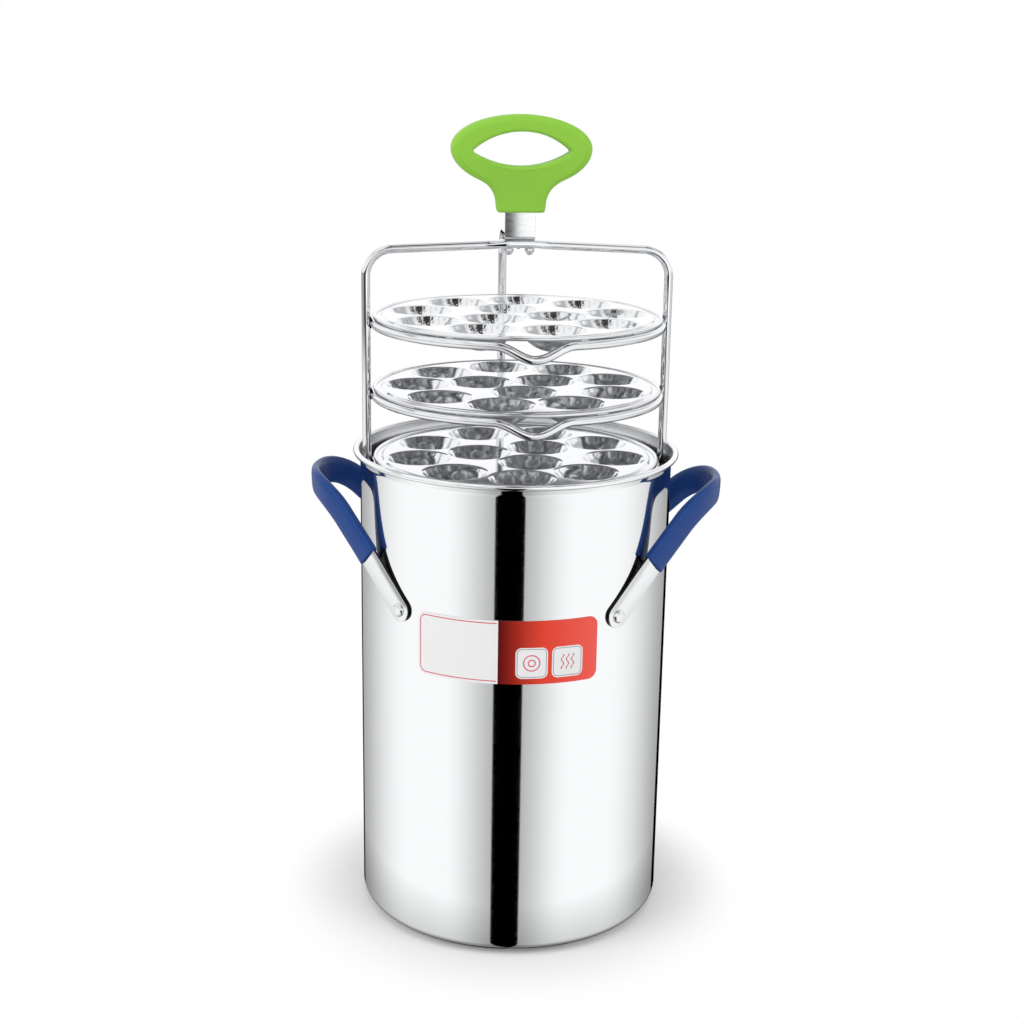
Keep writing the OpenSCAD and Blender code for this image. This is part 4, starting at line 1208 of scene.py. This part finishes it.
def plate_mesh(p, finish):
    """One plate on its own origin: a field with cups welded in, and its rim, thickened to the sheet."""
    outer, inner, *_ = cup_sizes(p)
    cup, opening = cup_shape(p)
    steps = 192
    rim = plate_rim(p)
    inner_turn = math.pi / p.outer_cups
    middles = circle((0, 0), outer, p.outer_cups)
    middles += [Matrix.Rotation(inner_turn, 2) @ q for q in circle((0, 0), inner, p.inner_cups)]
    openings = [circle(m, opening, CUP_STEPS) for m in middles]
    flat, faces = fill(circle((0, 0), rim[0].x, steps), openings)
    top = p.step + p.sheet
    field = ([Vector((q.x, q.y, top)) for q in flat], faces)
    sheet = new_object("Plate", new_mesh("Plate", joined(field, lathe(rim, steps))))
    model = new_object("Cup", new_mesh("Cup", moved(cup, Matrix.Translation((0, 0, top)))))
    # How far the sheet was stretched: 0 at the lip, and 1 from 3 mm down
    mark = model.data.attributes.new("pressed", "FLOAT", "POINT")
    for value, vertex in zip(mark.data, model.data.vertices):
        value.value = smoothstep(top, top - 3 * MM, vertex.co.z) if vertex.co.z < top else 0.0
    thick = sheet.modifiers.new("Sheet", "SOLIDIFY")
    thick.thickness = p.sheet
    thick.offset = -1
    mesh = grow(sheet, cups_tree(), {
        "Cup": model, "Outer cups": p.outer_cups, "Outer radius": outer, "Inner cups": p.inner_cups,
        "Inner radius": inner, "Inner turn": inner_turn, "Material": finish})
    bpy.data.objects.remove(model)
    return mesh


def build_plates(settings):
    """Presses one plate and lays a copy on each ring, each with its own turn."""
    p = settings.plates
    finish = pressed_steel(p.steel)
    mesh = plate_mesh(p, finish)
    turns = {"bottom": p.bottom_turn, "middle": p.middle_turn, "top": p.top_turn}
    for tier in TIERS:
        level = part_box(tier + "_plate")[1].z - p.edge
        copy = mesh.copy()
        copy.transform(Matrix.Translation((0, 0, level))
                       @ Matrix.Rotation(settings.rack.turn + turns[tier], 4, "Z"))
        dress(new_object(tier.title() + "_Plate", copy), finish, "plate_" + tier,
              [tier + "_plate"], sharp=32)


# Lifting handle

def build_lift_strap(settings):
    """Bends the lifting strap: a foot on the pad, a tight bend and the upright part."""
    g, r = settings.grip, settings.rack
    pad_top = pad_height(settings) + r.pad_t / 2
    front = -r.pad_w / 2 + g.strap_t / 2
    back = r.pad_w / 2 - 2 * r.weld
    low = pad_top + g.strap_t / 2
    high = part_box("lift_grip")[0].z + g.strap_in
    path = rounded([(0, back, low), (0, front, low), (0, front, high)], [g.strap_bend + g.strap_t / 2], 14)
    section = round_section(g.strap_w, g.strap_t, 0.35 * MM, 3)
    rings = []
    for k, place in enumerate(path):
        on = (path[min(k + 1, len(path) - 1)] - path[max(k - 1, 0)]).normalized()
        through = on.cross(Vector((1, 0, 0)))
        rings.append([place + Vector((a, 0, 0)) + b * through for a, b in section])
    piece("Lift_Strap", moved(skin(rings), rack_turn(settings)),
          strip_steel(settings.handles.strap_steel), "rack", ["lift_strap"], sharp=20)


def screw_places(settings, height):
    """Places and turns of the two screws, at a height."""
    g, turn = settings.grip, rack_turn(settings)
    places = [turn @ Vector((side * g.screw_gap / 2, 0, height)) for side in (-1, 1)]
    return places, [(0, 0, settings.rack.turn)] * 2


def build_screws(settings):
    """Sets two pan-head screws through the strap's foot and the pad, and dome nuts under them."""
    g, r = settings.grip, settings.rack
    finish = plated_steel(g.screw_steel)
    head_r, shank_r = g.head_d / 2, g.screw_d / 2
    shank = g.strap_t + r.pad_t + g.nut_h + g.dome_h / 3
    profile = [(0, -shank), (shank_r, -shank), (shank_r, 0), (head_r, 0),
               (head_r, g.head_h), (0.5 * head_r, g.head_h),
               (0.4 * head_r, 0.4 * g.head_h), (0, 0.4 * g.head_h)]
    head = lathe(rounded(profile, [0.3 * MM, 0, 0.1 * MM, 1.1 * MM, 0.15 * MM, 0.1 * MM], 5), 36)
    seat = pad_height(settings) + r.pad_t / 2 + g.strap_t
    fasteners("Screws", head, *screw_places(settings, seat), finish, "rack", "screw_steel",
              ["left_screw", "right_screw"])
    corner_r, dome_r = g.nut_af / 2 / math.cos(math.pi / 6), 0.46 * g.nut_af
    nut = lathe(rounded([(0, 0), (corner_r, 0), (corner_r, -g.nut_h), (0.8 * corner_r, -g.nut_h - 0.2 * MM),
                         (0, -g.nut_h - 0.2 * MM)], [0.35 * MM, 0.35 * MM, 0], 3), 6)
    dome = lathe([(dome_r * math.sin(math.radians(t)), -g.nut_h - g.dome_h * math.cos(math.radians(t)))
                  for t in range(0, 91, 9)] + [(0, -g.nut_h)], 36)
    under = pad_height(settings) - r.pad_t / 2
    fasteners("Dome_Nuts", joined(nut, dome), *screw_places(settings, under), finish, "rack", "screw_steel",
              ["left_dome_nut", "right_dome_nut"])


def grip_outline(g, height):
    """The grip seen from the front, as (across, up): a neck that flares out into a broad oval."""
    # The flare's foot, radius and last angle, and how far the oval swells under its widest line
    flare_foot, flare_r, flare_end, belly = 5 * MM, 16 * MM, 115, 25 * MM
    half_neck, half_w = g.neck_w / 2, g.width / 2
    flare_mid = (half_neck + 0.5 * MM + flare_r, flare_foot)
    wide = g.tip_h + 1.7 * MM
    flare = arc(flare_mid, flare_r, 180, flare_end, 16)
    start = math.asin((wide - flare[-1].y) / belly)
    side = rounded([(0, 0), (half_neck, 0), flare[0]], [1.8 * MM], 6)[1:-1] + flare
    side += [Vector((half_w * math.cos(t), wide + belly * math.sin(t)))
             for t in (-start * (1 - k / 24) for k in range(1, 24))]
    side += [Vector((half_w * math.cos(t), wide + (height - wide) * math.sin(t)))
             for t in (math.radians(2.5 * k) for k in range(37))]
    outline = side[:-1] + [Vector((-q.x, q.y)) for q in reversed(side)]
    foot = [Vector((half_neck * (k / 8 - 1) * 0.85, 0)) for k in range(17)]
    return eased(outline + foot, 3)


def eased(loop, rounds):
    """A closed loop of points, each drawn a little towards its neighbours, to blend its arcs."""
    for _ in range(rounds):
        loop = [(before + 2 * here + after) / 4
                for before, here, after in zip(loop[-1:] + loop[:-1], loop, loop[1:] + loop[:1])]
    return loop


def finger_hole(g):
    """The finger hole: two arcs that meet in rounded tips."""
    half = g.hole_w / 2
    loop = []
    for high, sign in ((g.hole_up, 1), (g.hole_down, -1)):
        radius = (half ** 2 + high ** 2) / (2 * high)
        sweep = math.degrees(math.asin(half / radius))
        turned = arc((0, g.tip_h + sign * (high - radius)), radius, 90 - sign * sweep, 90 + sign * sweep, 46)
        loop += [Vector((q.x, q.y if sign > 0 else 2 * (g.tip_h - high + radius) - q.y))
                 for q in turned[:-1]]
    return eased(loop, 1)


def inset(loop, distance):
    """A loop moved to its left by a distance, or by a distance for each point."""
    result = []
    for k, here in enumerate(loop):
        on = (loop[(k + 1) % len(loop)] - loop[k - 1]).normalized()
        result.append(here + Vector((-on.y, on.x)) * distance(here))
    return result


def build_grip(settings):
    """Moulds the grip: flat faces that swell from the neck to the bar, with rounded edges."""
    g, r = settings.grip, settings.rack
    low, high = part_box("lift_grip")
    height = high.z - low.z

    def half_depth(up):
        """Half of the grip's thickness at a height."""
        swell = smoothstep(0, g.tip_h, up)
        return (g.neck_t + (g.bar_t - g.neck_t) * swell) / 2

    def bar_edge(q):
        """Radius of the outer edge at a point."""
        return g.neck_edge + (g.bar_edge - g.neck_edge) * smoothstep(g.neck_h, g.tip_h, q.y)

    def hole_edge(q):
        """Radius of the finger hole's edge, the same at each point."""
        return g.hole_edge

    outline, hole = grip_outline(g, height), finger_hole(g)
    turns = [math.radians(t) for t in range(0, 91, 10)]

    def wall(loop, edge, sign):
        """The rounded wall between the front and back faces along a loop."""
        rings = []
        for face, order in ((-1, turns), (1, turns[::-1])):
            for t in order:
                ring = inset(loop, lambda q: sign * edge(q) * (1 - math.sin(t)))
                depth = [half_depth(q.y) - edge(q) * (1 - math.cos(t)) for q in loop]
                rings.append([Vector((q.x, face * d, q.y)) for q, d in zip(ring, depth)])
        points, faces = skin(rings)
        return points, faces[:-2]

    spacing, clear = 3, 1.2 * MM
    grid = [Vector((x * spacing * MM, z * spacing * MM)) for x in range(-16, 17) for z in range(0, 22)]
    border, rim = inset(outline, bar_edge), inset(hole, lambda q: -hole_edge(q))
    keep = [q for q in grid if within(q, border) and not within(q, rim)
            and min((q - e).length for e in border + rim) > clear]
    flat, faces = fill(border, [rim], keep)
    shapes = [wall(outline, bar_edge, 1), wall(hole, hole_edge, -1)]
    for face in (-1, 1):
        shapes.append(([Vector((q.x, face * half_depth(q.y), q.y)) for q in flat], faces))
    middle = -r.pad_w / 2 + g.strap_t / 2
    place = rack_turn(settings) @ Matrix.Translation((0, middle, low.z))
    green = moulded_silicone("Moulded_Green_Silicone", g.green, roughness=(0.46, 0.58), gloss=0.4)
    grip = piece("Lifting_Grip", moved(joined(*shapes), place), green, "rack",
                 ["lift_grip"], sharp=60)
    # Its green stays out of the cups' reflections
    grip.visible_glossy = False


# Studio

# The light tent that polished metal sees, in parts. A level of 1 is the tent's own white, and a
# direction's height runs from -1 straight down over 0 on the horizon to 1 overhead.

def low_light(tree, s, turn, height):
    """The tent's lower part, by the angle from the flag: a broad box on each side of the narrow
    black flag, which dims beside it and towards the back, and a narrow dark gap behind."""
    by_flag, at_back, at_table = 0.42, 0.38, 0.42
    gap_at, gap_half = math.radians(167), math.radians(9)
    rise = add(tree, "ShaderNodeMapRange",
               {"Value": turn, 1: 0.0, 2: math.radians(50), 3: by_flag, 4: 1.0},
               interpolation_type="SMOOTHSTEP")
    fall = add(tree, "ShaderNodeMapRange",
               {"Value": turn, 1: math.radians(80), 2: math.radians(160), 3: 1.0, 4: at_back},
               interpolation_type="SMOOTHSTEP")
    boxes = add(tree, "ShaderNodeMath", {0: rise.outputs[0], 1: fall.outputs[0]}, operation="MULTIPLY")
    beside = add(tree, "ShaderNodeMath", {0: turn, 1: s.flag_half}, operation="GREATER_THAN")
    gap = add(tree, "ShaderNodeMath", {0: turn, 1: gap_at, 2: gap_half}, operation="COMPARE")
    clear = add(tree, "ShaderNodeMath", {0: beside.outputs[0], 1: gap.outputs[0]}, operation="SUBTRACT")
    low = add(tree, "ShaderNodeMath", {0: boxes.outputs[0], 1: clear.outputs[0]}, operation="MULTIPLY")
    # Steeply down it meets the grey edge of the table
    table = add(tree, "ShaderNodeMapRange", {"Value": height, 1: -0.96, 2: -0.72, 3: at_table, 4: 1.0})
    lower = add(tree, "ShaderNodeMath", {0: low.outputs[0], 1: table.outputs[0]}, operation="MULTIPLY")
    return lower.outputs[0]


def belt_light(tree, s, flat):
    """The tent just under the horizon, where the upright wires look: greyer on the left and at
    the far right, and nearly black where the stand is."""
    on_left, in_front, far_right, at_stand = 0.38, 1.25, 0.55, 0.04
    outside, inside = math.cos(math.radians(29)), math.cos(math.radians(22))
    stand = (math.cos(s.stand_at), math.sin(s.stand_at), 0.0)
    to_stand = add(tree, "ShaderNodeVectorMath", {0: flat, 1: stand}, operation="DOT_PRODUCT")
    past_stand = add(tree, "ShaderNodeMapRange", {
        "Value": to_stand.outputs["Value"], 1: outside, 2: inside, 3: 1.0, 4: at_stand})
    aside = add(tree, "ShaderNodeSeparateXYZ", {0: flat}).outputs["X"]
    left = add(tree, "ShaderNodeMapRange", {"Value": aside, 1: -0.60, 2: -0.40, 3: on_left, 4: in_front})
    far = add(tree, "ShaderNodeMapRange", {"Value": aside, 1: 0.55, 2: 0.95, 3: 1.0, 4: far_right})
    sides = add(tree, "ShaderNodeMath", {0: left.outputs[0], 1: far.outputs[0]}, operation="MULTIPLY")
    belt = add(tree, "ShaderNodeMath", {0: sides.outputs[0], 1: past_stand.outputs[0]}, operation="MULTIPLY")
    return belt.outputs[0]


def overhead_light(tree, s, way, height):
    """The tent over the horizon: white at first, then a mottled cloth, with two dark cards."""
    in_fold, white = 0.50, 1.0
    spread = add(tree, "ShaderNodeMapping", {"Vector": way, "Location": s.cloth_shift})
    cloth = add(tree, "ShaderNodeTexNoise",
                {"Vector": spread.outputs[0], "Scale": 2.0, "Detail": 1.0, "Distortion": 0.8})
    mottle = add(tree, "ShaderNodeMapRange",
                 {"Value": cloth.outputs[0], 1: 0.36, 2: 0.58, 3: in_fold, 4: white},
                 interpolation_type="SMOOTHSTEP")
    high = add(tree, "ShaderNodeMapRange", {"Value": height, 1: 0.30, 2: 0.50})
    light = add(tree, "ShaderNodeMix", {0: high.outputs[0], 2: white, 3: mottle.outputs[0]})
    folds = add(tree, "ShaderNodeTexNoise", {"Vector": way, "Scale": 4.5, "Detail": 2.0, "Distortion": 1.6})
    ragged = add(tree, "ShaderNodeMath", {0: folds.outputs[0], 1: 0.5}, operation="SUBTRACT")
    # A card's direction, its half width in degrees, how ragged its edge is, and its own level
    for direction, wide, rough, dark in (((0.0, -0.86, 0.51), 15, 0.0, 0.35),
                                         ((0.22, -0.42, 0.88), 22, 0.5, 0.05)):
        card = Vector(direction).normalized()
        outside, inside = math.cos(math.radians(wide)), math.cos(math.radians(0.6 * wide))
        near = add(tree, "ShaderNodeVectorMath", {0: way, 1: card}, operation="DOT_PRODUCT")
        torn = add(tree, "ShaderNodeMath", {0: ragged.outputs[0], 1: rough, 2: near.outputs["Value"]},
                   operation="MULTIPLY_ADD")
        shade = add(tree, "ShaderNodeMapRange",
                    {"Value": torn.outputs[0], 1: outside, 2: inside, 3: white, 4: dark},
                    interpolation_type="SMOOTHSTEP")
        light = add(tree, "ShaderNodeMath", {0: light.outputs[0], 1: shade.outputs[0]},
                    operation="MULTIPLY")
    return light.outputs[0]


def sky(settings):
    """White to the camera, plain to what it lights, and a light tent to polished metal."""
    s = settings.studio
    world = bpy.data.worlds.new("Studio")
    world.use_nodes = True
    tree = world.node_tree
    tree.nodes.clear()
    way = add(tree, "ShaderNodeTexCoord").outputs["Generated"]
    height = add(tree, "ShaderNodeSeparateXYZ", {0: way}).outputs["Z"]
    level = add(tree, "ShaderNodeVectorMath", {0: way, 1: (1.0, 1.0, 0.0)}, operation="MULTIPLY")
    flat = add(tree, "ShaderNodeVectorMath", {0: level.outputs[0]}, operation="NORMALIZE").outputs[0]
    flag = (math.cos(s.flag_at), math.sin(s.flag_at), 0.0)
    toward = add(tree, "ShaderNodeVectorMath", {0: flat, 1: flag}, operation="DOT_PRODUCT")
    turn = add(tree, "ShaderNodeMath", {0: toward.outputs["Value"]}, operation="ARCCOSINE").outputs[0]
    horizon = add(tree, "ShaderNodeMapRange", {"Value": height, 1: -0.02, 2: 0.03})
    upper = add(tree, "ShaderNodeMix", {0: horizon.outputs[0], 2: belt_light(tree, s, flat),
                                        3: overhead_light(tree, s, way, height)})
    # The tent's foot stands higher behind the set than in front of it
    foot = add(tree, "ShaderNodeMapRange",
               {"Value": turn, 1: math.radians(95), 2: math.radians(140), 3: 0.0, 4: 0.15})
    over_foot = add(tree, "ShaderNodeMath", {0: height, 1: foot.outputs[0]}, operation="SUBTRACT")
    part = add(tree, "ShaderNodeMapRange", {"Value": over_foot.outputs[0], 1: -0.22, 2: -0.16})
    whole = add(tree, "ShaderNodeMix", {0: part.outputs[0], 2: low_light(tree, s, turn, height),
                                        3: upper.outputs[0]})
    strength = add(tree, "ShaderNodeMath", {0: whole.outputs[0], 1: s.tent}, operation="MULTIPLY")
    paper = srgb("FFFFFF")
    rays = add(tree, "ShaderNodeLightPath")
    plain = add(tree, "ShaderNodeBackground", {"Color": paper, "Strength": s.fill})
    tent = add(tree, "ShaderNodeBackground", {"Color": paper, "Strength": strength.outputs[0]})
    white = add(tree, "ShaderNodeBackground", {"Color": paper, "Strength": 1.0})
    lit = add(tree, "ShaderNodeMixShader", {0: rays.outputs["Is Glossy Ray"], 1: plain.outputs[0],
                                            2: tent.outputs[0]})
    shown = add(tree, "ShaderNodeMixShader", {0: rays.outputs["Is Camera Ray"], 1: lit.outputs[0],
                                              2: white.outputs[0]})
    add(tree, "ShaderNodeOutputWorld", {0: shown.outputs[0]})
    bpy.context.scene.world = world


def floor_paint(colour):
    """Plain pale paper: it keeps the object's shadow, and fades to a white sweep around it."""
    # Distances from the pot's axis, in metres: the pot's wall, and where each change is complete
    wall_r, all_white, all_bright = 0.105, 0.17, 0.165
    in_shadow = 0.60
    material = bpy.data.materials.new("Studio_Paper")
    material.use_nodes = True
    tree = material.node_tree
    tree.nodes.clear()
    paper = add(tree, "ShaderNodeBsdfDiffuse", {"Color": colour})
    place = add(tree, "ShaderNodeTexCoord").outputs["Object"]
    away = add(tree, "ShaderNodeVectorMath", {0: place}, operation="LENGTH")
    sweep = add(tree, "ShaderNodeMapRange", {"Value": away.outputs["Value"], 1: wall_r, 2: all_white},
                interpolation_type="SMOOTHSTEP")
    white = add(tree, "ShaderNodeEmission", {"Color": srgb("FFFFFF"), "Strength": 1.0})
    seen = add(tree, "ShaderNodeMixShader", {0: sweep.outputs[0], 1: paper.outputs[0], 2: white.outputs[0]})
    rays = add(tree, "ShaderNodeLightPath")
    solid = add(tree, "ShaderNodeMixShader", {0: rays.outputs["Is Camera Ray"], 1: paper.outputs[0],
                                              2: seen.outputs[0]})
    # Polished metal sees the light tent below the horizon too, dimmed by the shadow near the pot
    dimmed = add(tree, "ShaderNodeMapRange", {"Value": away.outputs["Value"], 1: wall_r, 2: all_bright,
                                              3: in_shadow, 4: 1.0})
    clear = add(tree, "ShaderNodeBsdfTransparent", {"Color": dimmed.outputs[0]})
    shown = add(tree, "ShaderNodeMixShader", {0: rays.outputs["Is Glossy Ray"], 1: solid.outputs[0],
                                              2: clear.outputs[0]})
    add(tree, "ShaderNodeOutputMaterial", {0: shown.outputs[0]})
    return material


def soft_lamp(name, place, size, power):
    """A square soft box aimed at the middle of the object. Polished metal doesn't see it."""
    middle = Vector((0, 0, 0.27))
    light = bpy.data.lights.new(name, "AREA")
    light.size = size
    light.energy = power
    lamp = new_object(name, light)
    lamp.location = place
    lamp.rotation_euler = (middle - Vector(place)).to_track_quat("-Z", "Y").to_euler()
    lamp.visible_glossy = False


def build_studio(settings):
    """Sets up the camera, the floor and the light."""
    s = settings.studio
    scene = bpy.context.scene
    camera = bpy.data.cameras.new("Camera")
    camera.lens = s.lens
    camera.sensor_width = 36
    view = new_object("Camera", camera)
    view.matrix_world = (Matrix.Translation(s.camera_at) @ Matrix.Rotation(s.heading, 4, "Z")
                         @ Matrix.Rotation(math.pi / 2 - s.pitch, 4, "X") @ Matrix.Rotation(s.roll, 4, "Z"))
    scene.camera = view
    scene.view_settings.view_transform = "Standard"
    half = 30
    corners = [Vector((x * half, y * half, 0)) for x, y in ((-1, -1), (1, -1), (1, 1), (-1, 1))]
    floor = new_object("Floor", new_mesh("Floor", (corners, [(0, 1, 2, 3)])))
    floor.data.materials.append(floor_paint(s.floor))
    sky(settings)
    soft_lamp("Left_Box", (-1.5, -0.9, 1.1), 1.1, s.left_power)
    soft_lamp("Right_Box", (1.5, -0.9, 1.1), 1.1, s.right_power)
    soft_lamp("Top_Box", (0.0, -0.4, 2.0), 1.2, s.top_power)


# Operators, one for each piece or group of like pieces

class STEAMER_OT_studio(bpy.types.Operator):
    """Sets up the camera, the floor and the light"""
    bl_idname = "steamer.studio"
    bl_label = "Studio"
    bl_options = {"REGISTER", "UNDO"}

    def execute(self, context):
        build_studio(context.scene.steamer)
        return {"FINISHED"}


class STEAMER_OT_pot(bpy.types.Operator):
    """Turns the polished pot with its rolled rim"""
    bl_idname = "steamer.pot"
    bl_label = "Pot"
    bl_options = {"REGISTER", "UNDO"}

    def execute(self, context):
        build_pot(context.scene.steamer)
        return {"FINISHED"}


class STEAMER_OT_base(bpy.types.Operator):
    """Turns the disc under the pot's floor"""
    bl_idname = "steamer.base"
    bl_label = "Base disc"
    bl_options = {"REGISTER", "UNDO"}

    def execute(self, context):
        build_base(context.scene.steamer)
        return {"FINISHED"}


class STEAMER_OT_label(bpy.types.Operator):
    """Wraps the plain label round the pot's wall"""
    bl_idname = "steamer.label"
    bl_label = "Label"
    bl_options = {"REGISTER", "UNDO"}

    def execute(self, context):
        build_label(context.scene.steamer)
        return {"FINISHED"}


class STEAMER_OT_handles(bpy.types.Operator):
    """Bends the side handles' straps and draws the sleeves over them"""
    bl_idname = "steamer.handles"
    bl_label = "Side handles"
    bl_options = {"REGISTER", "UNDO"}

    def execute(self, context):
        build_handles(context.scene.steamer)
        return {"FINISHED"}


class STEAMER_OT_rivets(bpy.types.Operator):
    """Sets the rivets of the side handles"""
    bl_idname = "steamer.rivets"
    bl_label = "Rivets"
    bl_options = {"REGISTER", "UNDO"}

    def execute(self, context):
        build_rivets(context.scene.steamer)
        return {"FINISHED"}


class STEAMER_OT_wires(bpy.types.Operator):
    """Bends the rack's hoop, back leg and rings"""
    bl_idname = "steamer.wires"
    bl_label = "Rack wires"
    bl_options = {"REGISTER", "UNDO"}

    def execute(self, context):
        build_wires(context.scene.steamer)
        return {"FINISHED"}


class STEAMER_OT_welds(bpy.types.Operator):
    """Sets the weld beads on the rack"""
    bl_idname = "steamer.welds"
    bl_label = "Weld beads"
    bl_options = {"REGISTER", "UNDO"}

    def execute(self, context):
        build_welds(context.scene.steamer)
        return {"FINISHED"}


class STEAMER_OT_plates(bpy.types.Operator):
    """Presses the three plates with their cups"""
    bl_idname = "steamer.plates"
    bl_label = "Plates"
    bl_options = {"REGISTER", "UNDO"}

    def execute(self, context):
        build_plates(context.scene.steamer)
        return {"FINISHED"}


class STEAMER_OT_lift_strap(bpy.types.Operator):
    """Bends the strap between the rack and its grip"""
    bl_idname = "steamer.lift_strap"
    bl_label = "Lifting strap"
    bl_options = {"REGISTER", "UNDO"}

    def execute(self, context):
        build_lift_strap(context.scene.steamer)
        return {"FINISHED"}


class STEAMER_OT_screws(bpy.types.Operator):
    """Sets the screws and dome nuts of the lifting strap"""
    bl_idname = "steamer.screws"
    bl_label = "Screws and nuts"
    bl_options = {"REGISTER", "UNDO"}

    def execute(self, context):
        build_screws(context.scene.steamer)
        return {"FINISHED"}


class STEAMER_OT_grip(bpy.types.Operator):
    """Moulds the green lifting grip"""
    bl_idname = "steamer.grip"
    bl_label = "Lifting grip"
    bl_options = {"REGISTER", "UNDO"}

    def execute(self, context):
        build_grip(context.scene.steamer)
        return {"FINISHED"}


OPERATORS = (STEAMER_OT_studio, STEAMER_OT_pot, STEAMER_OT_base, STEAMER_OT_label, STEAMER_OT_handles,
             STEAMER_OT_rivets, STEAMER_OT_wires, STEAMER_OT_welds, STEAMER_OT_plates, STEAMER_OT_lift_strap,
             STEAMER_OT_screws, STEAMER_OT_grip)


class STEAMER_PT_panel(bpy.types.Panel):
    """Lists the steamer's pieces in the sidebar"""
    bl_idname = "STEAMER_PT_panel"
    bl_label = "Steamer"
    bl_space_type = "VIEW_3D"
    bl_region_type = "UI"
    bl_category = "Steamer"

    def draw(self, context):
        for operator in OPERATORS:
            self.layout.operator(operator.bl_idname)


CLASSES = (PotSettings, LabelSettings, HandleSettings, RackSettings, PlateSettings, GripSettings,
           StudioSettings, SteamerSettings, *OPERATORS, STEAMER_PT_panel)


def register():
    for each in CLASSES:
        bpy.utils.register_class(each)
    bpy.types.Scene.steamer = PointerProperty(type=SteamerSettings)


def unregister():
    del bpy.types.Scene.steamer
    for each in reversed(CLASSES):
        bpy.utils.unregister_class(each)


def main():
    """Registers the add-on and makes each piece in turn."""
    register()
    for operator in OPERATORS:
        group, name = operator.bl_idname.split(".")
        getattr(getattr(bpy.ops, group), name)()


if __name__ == "__main__":
    main()
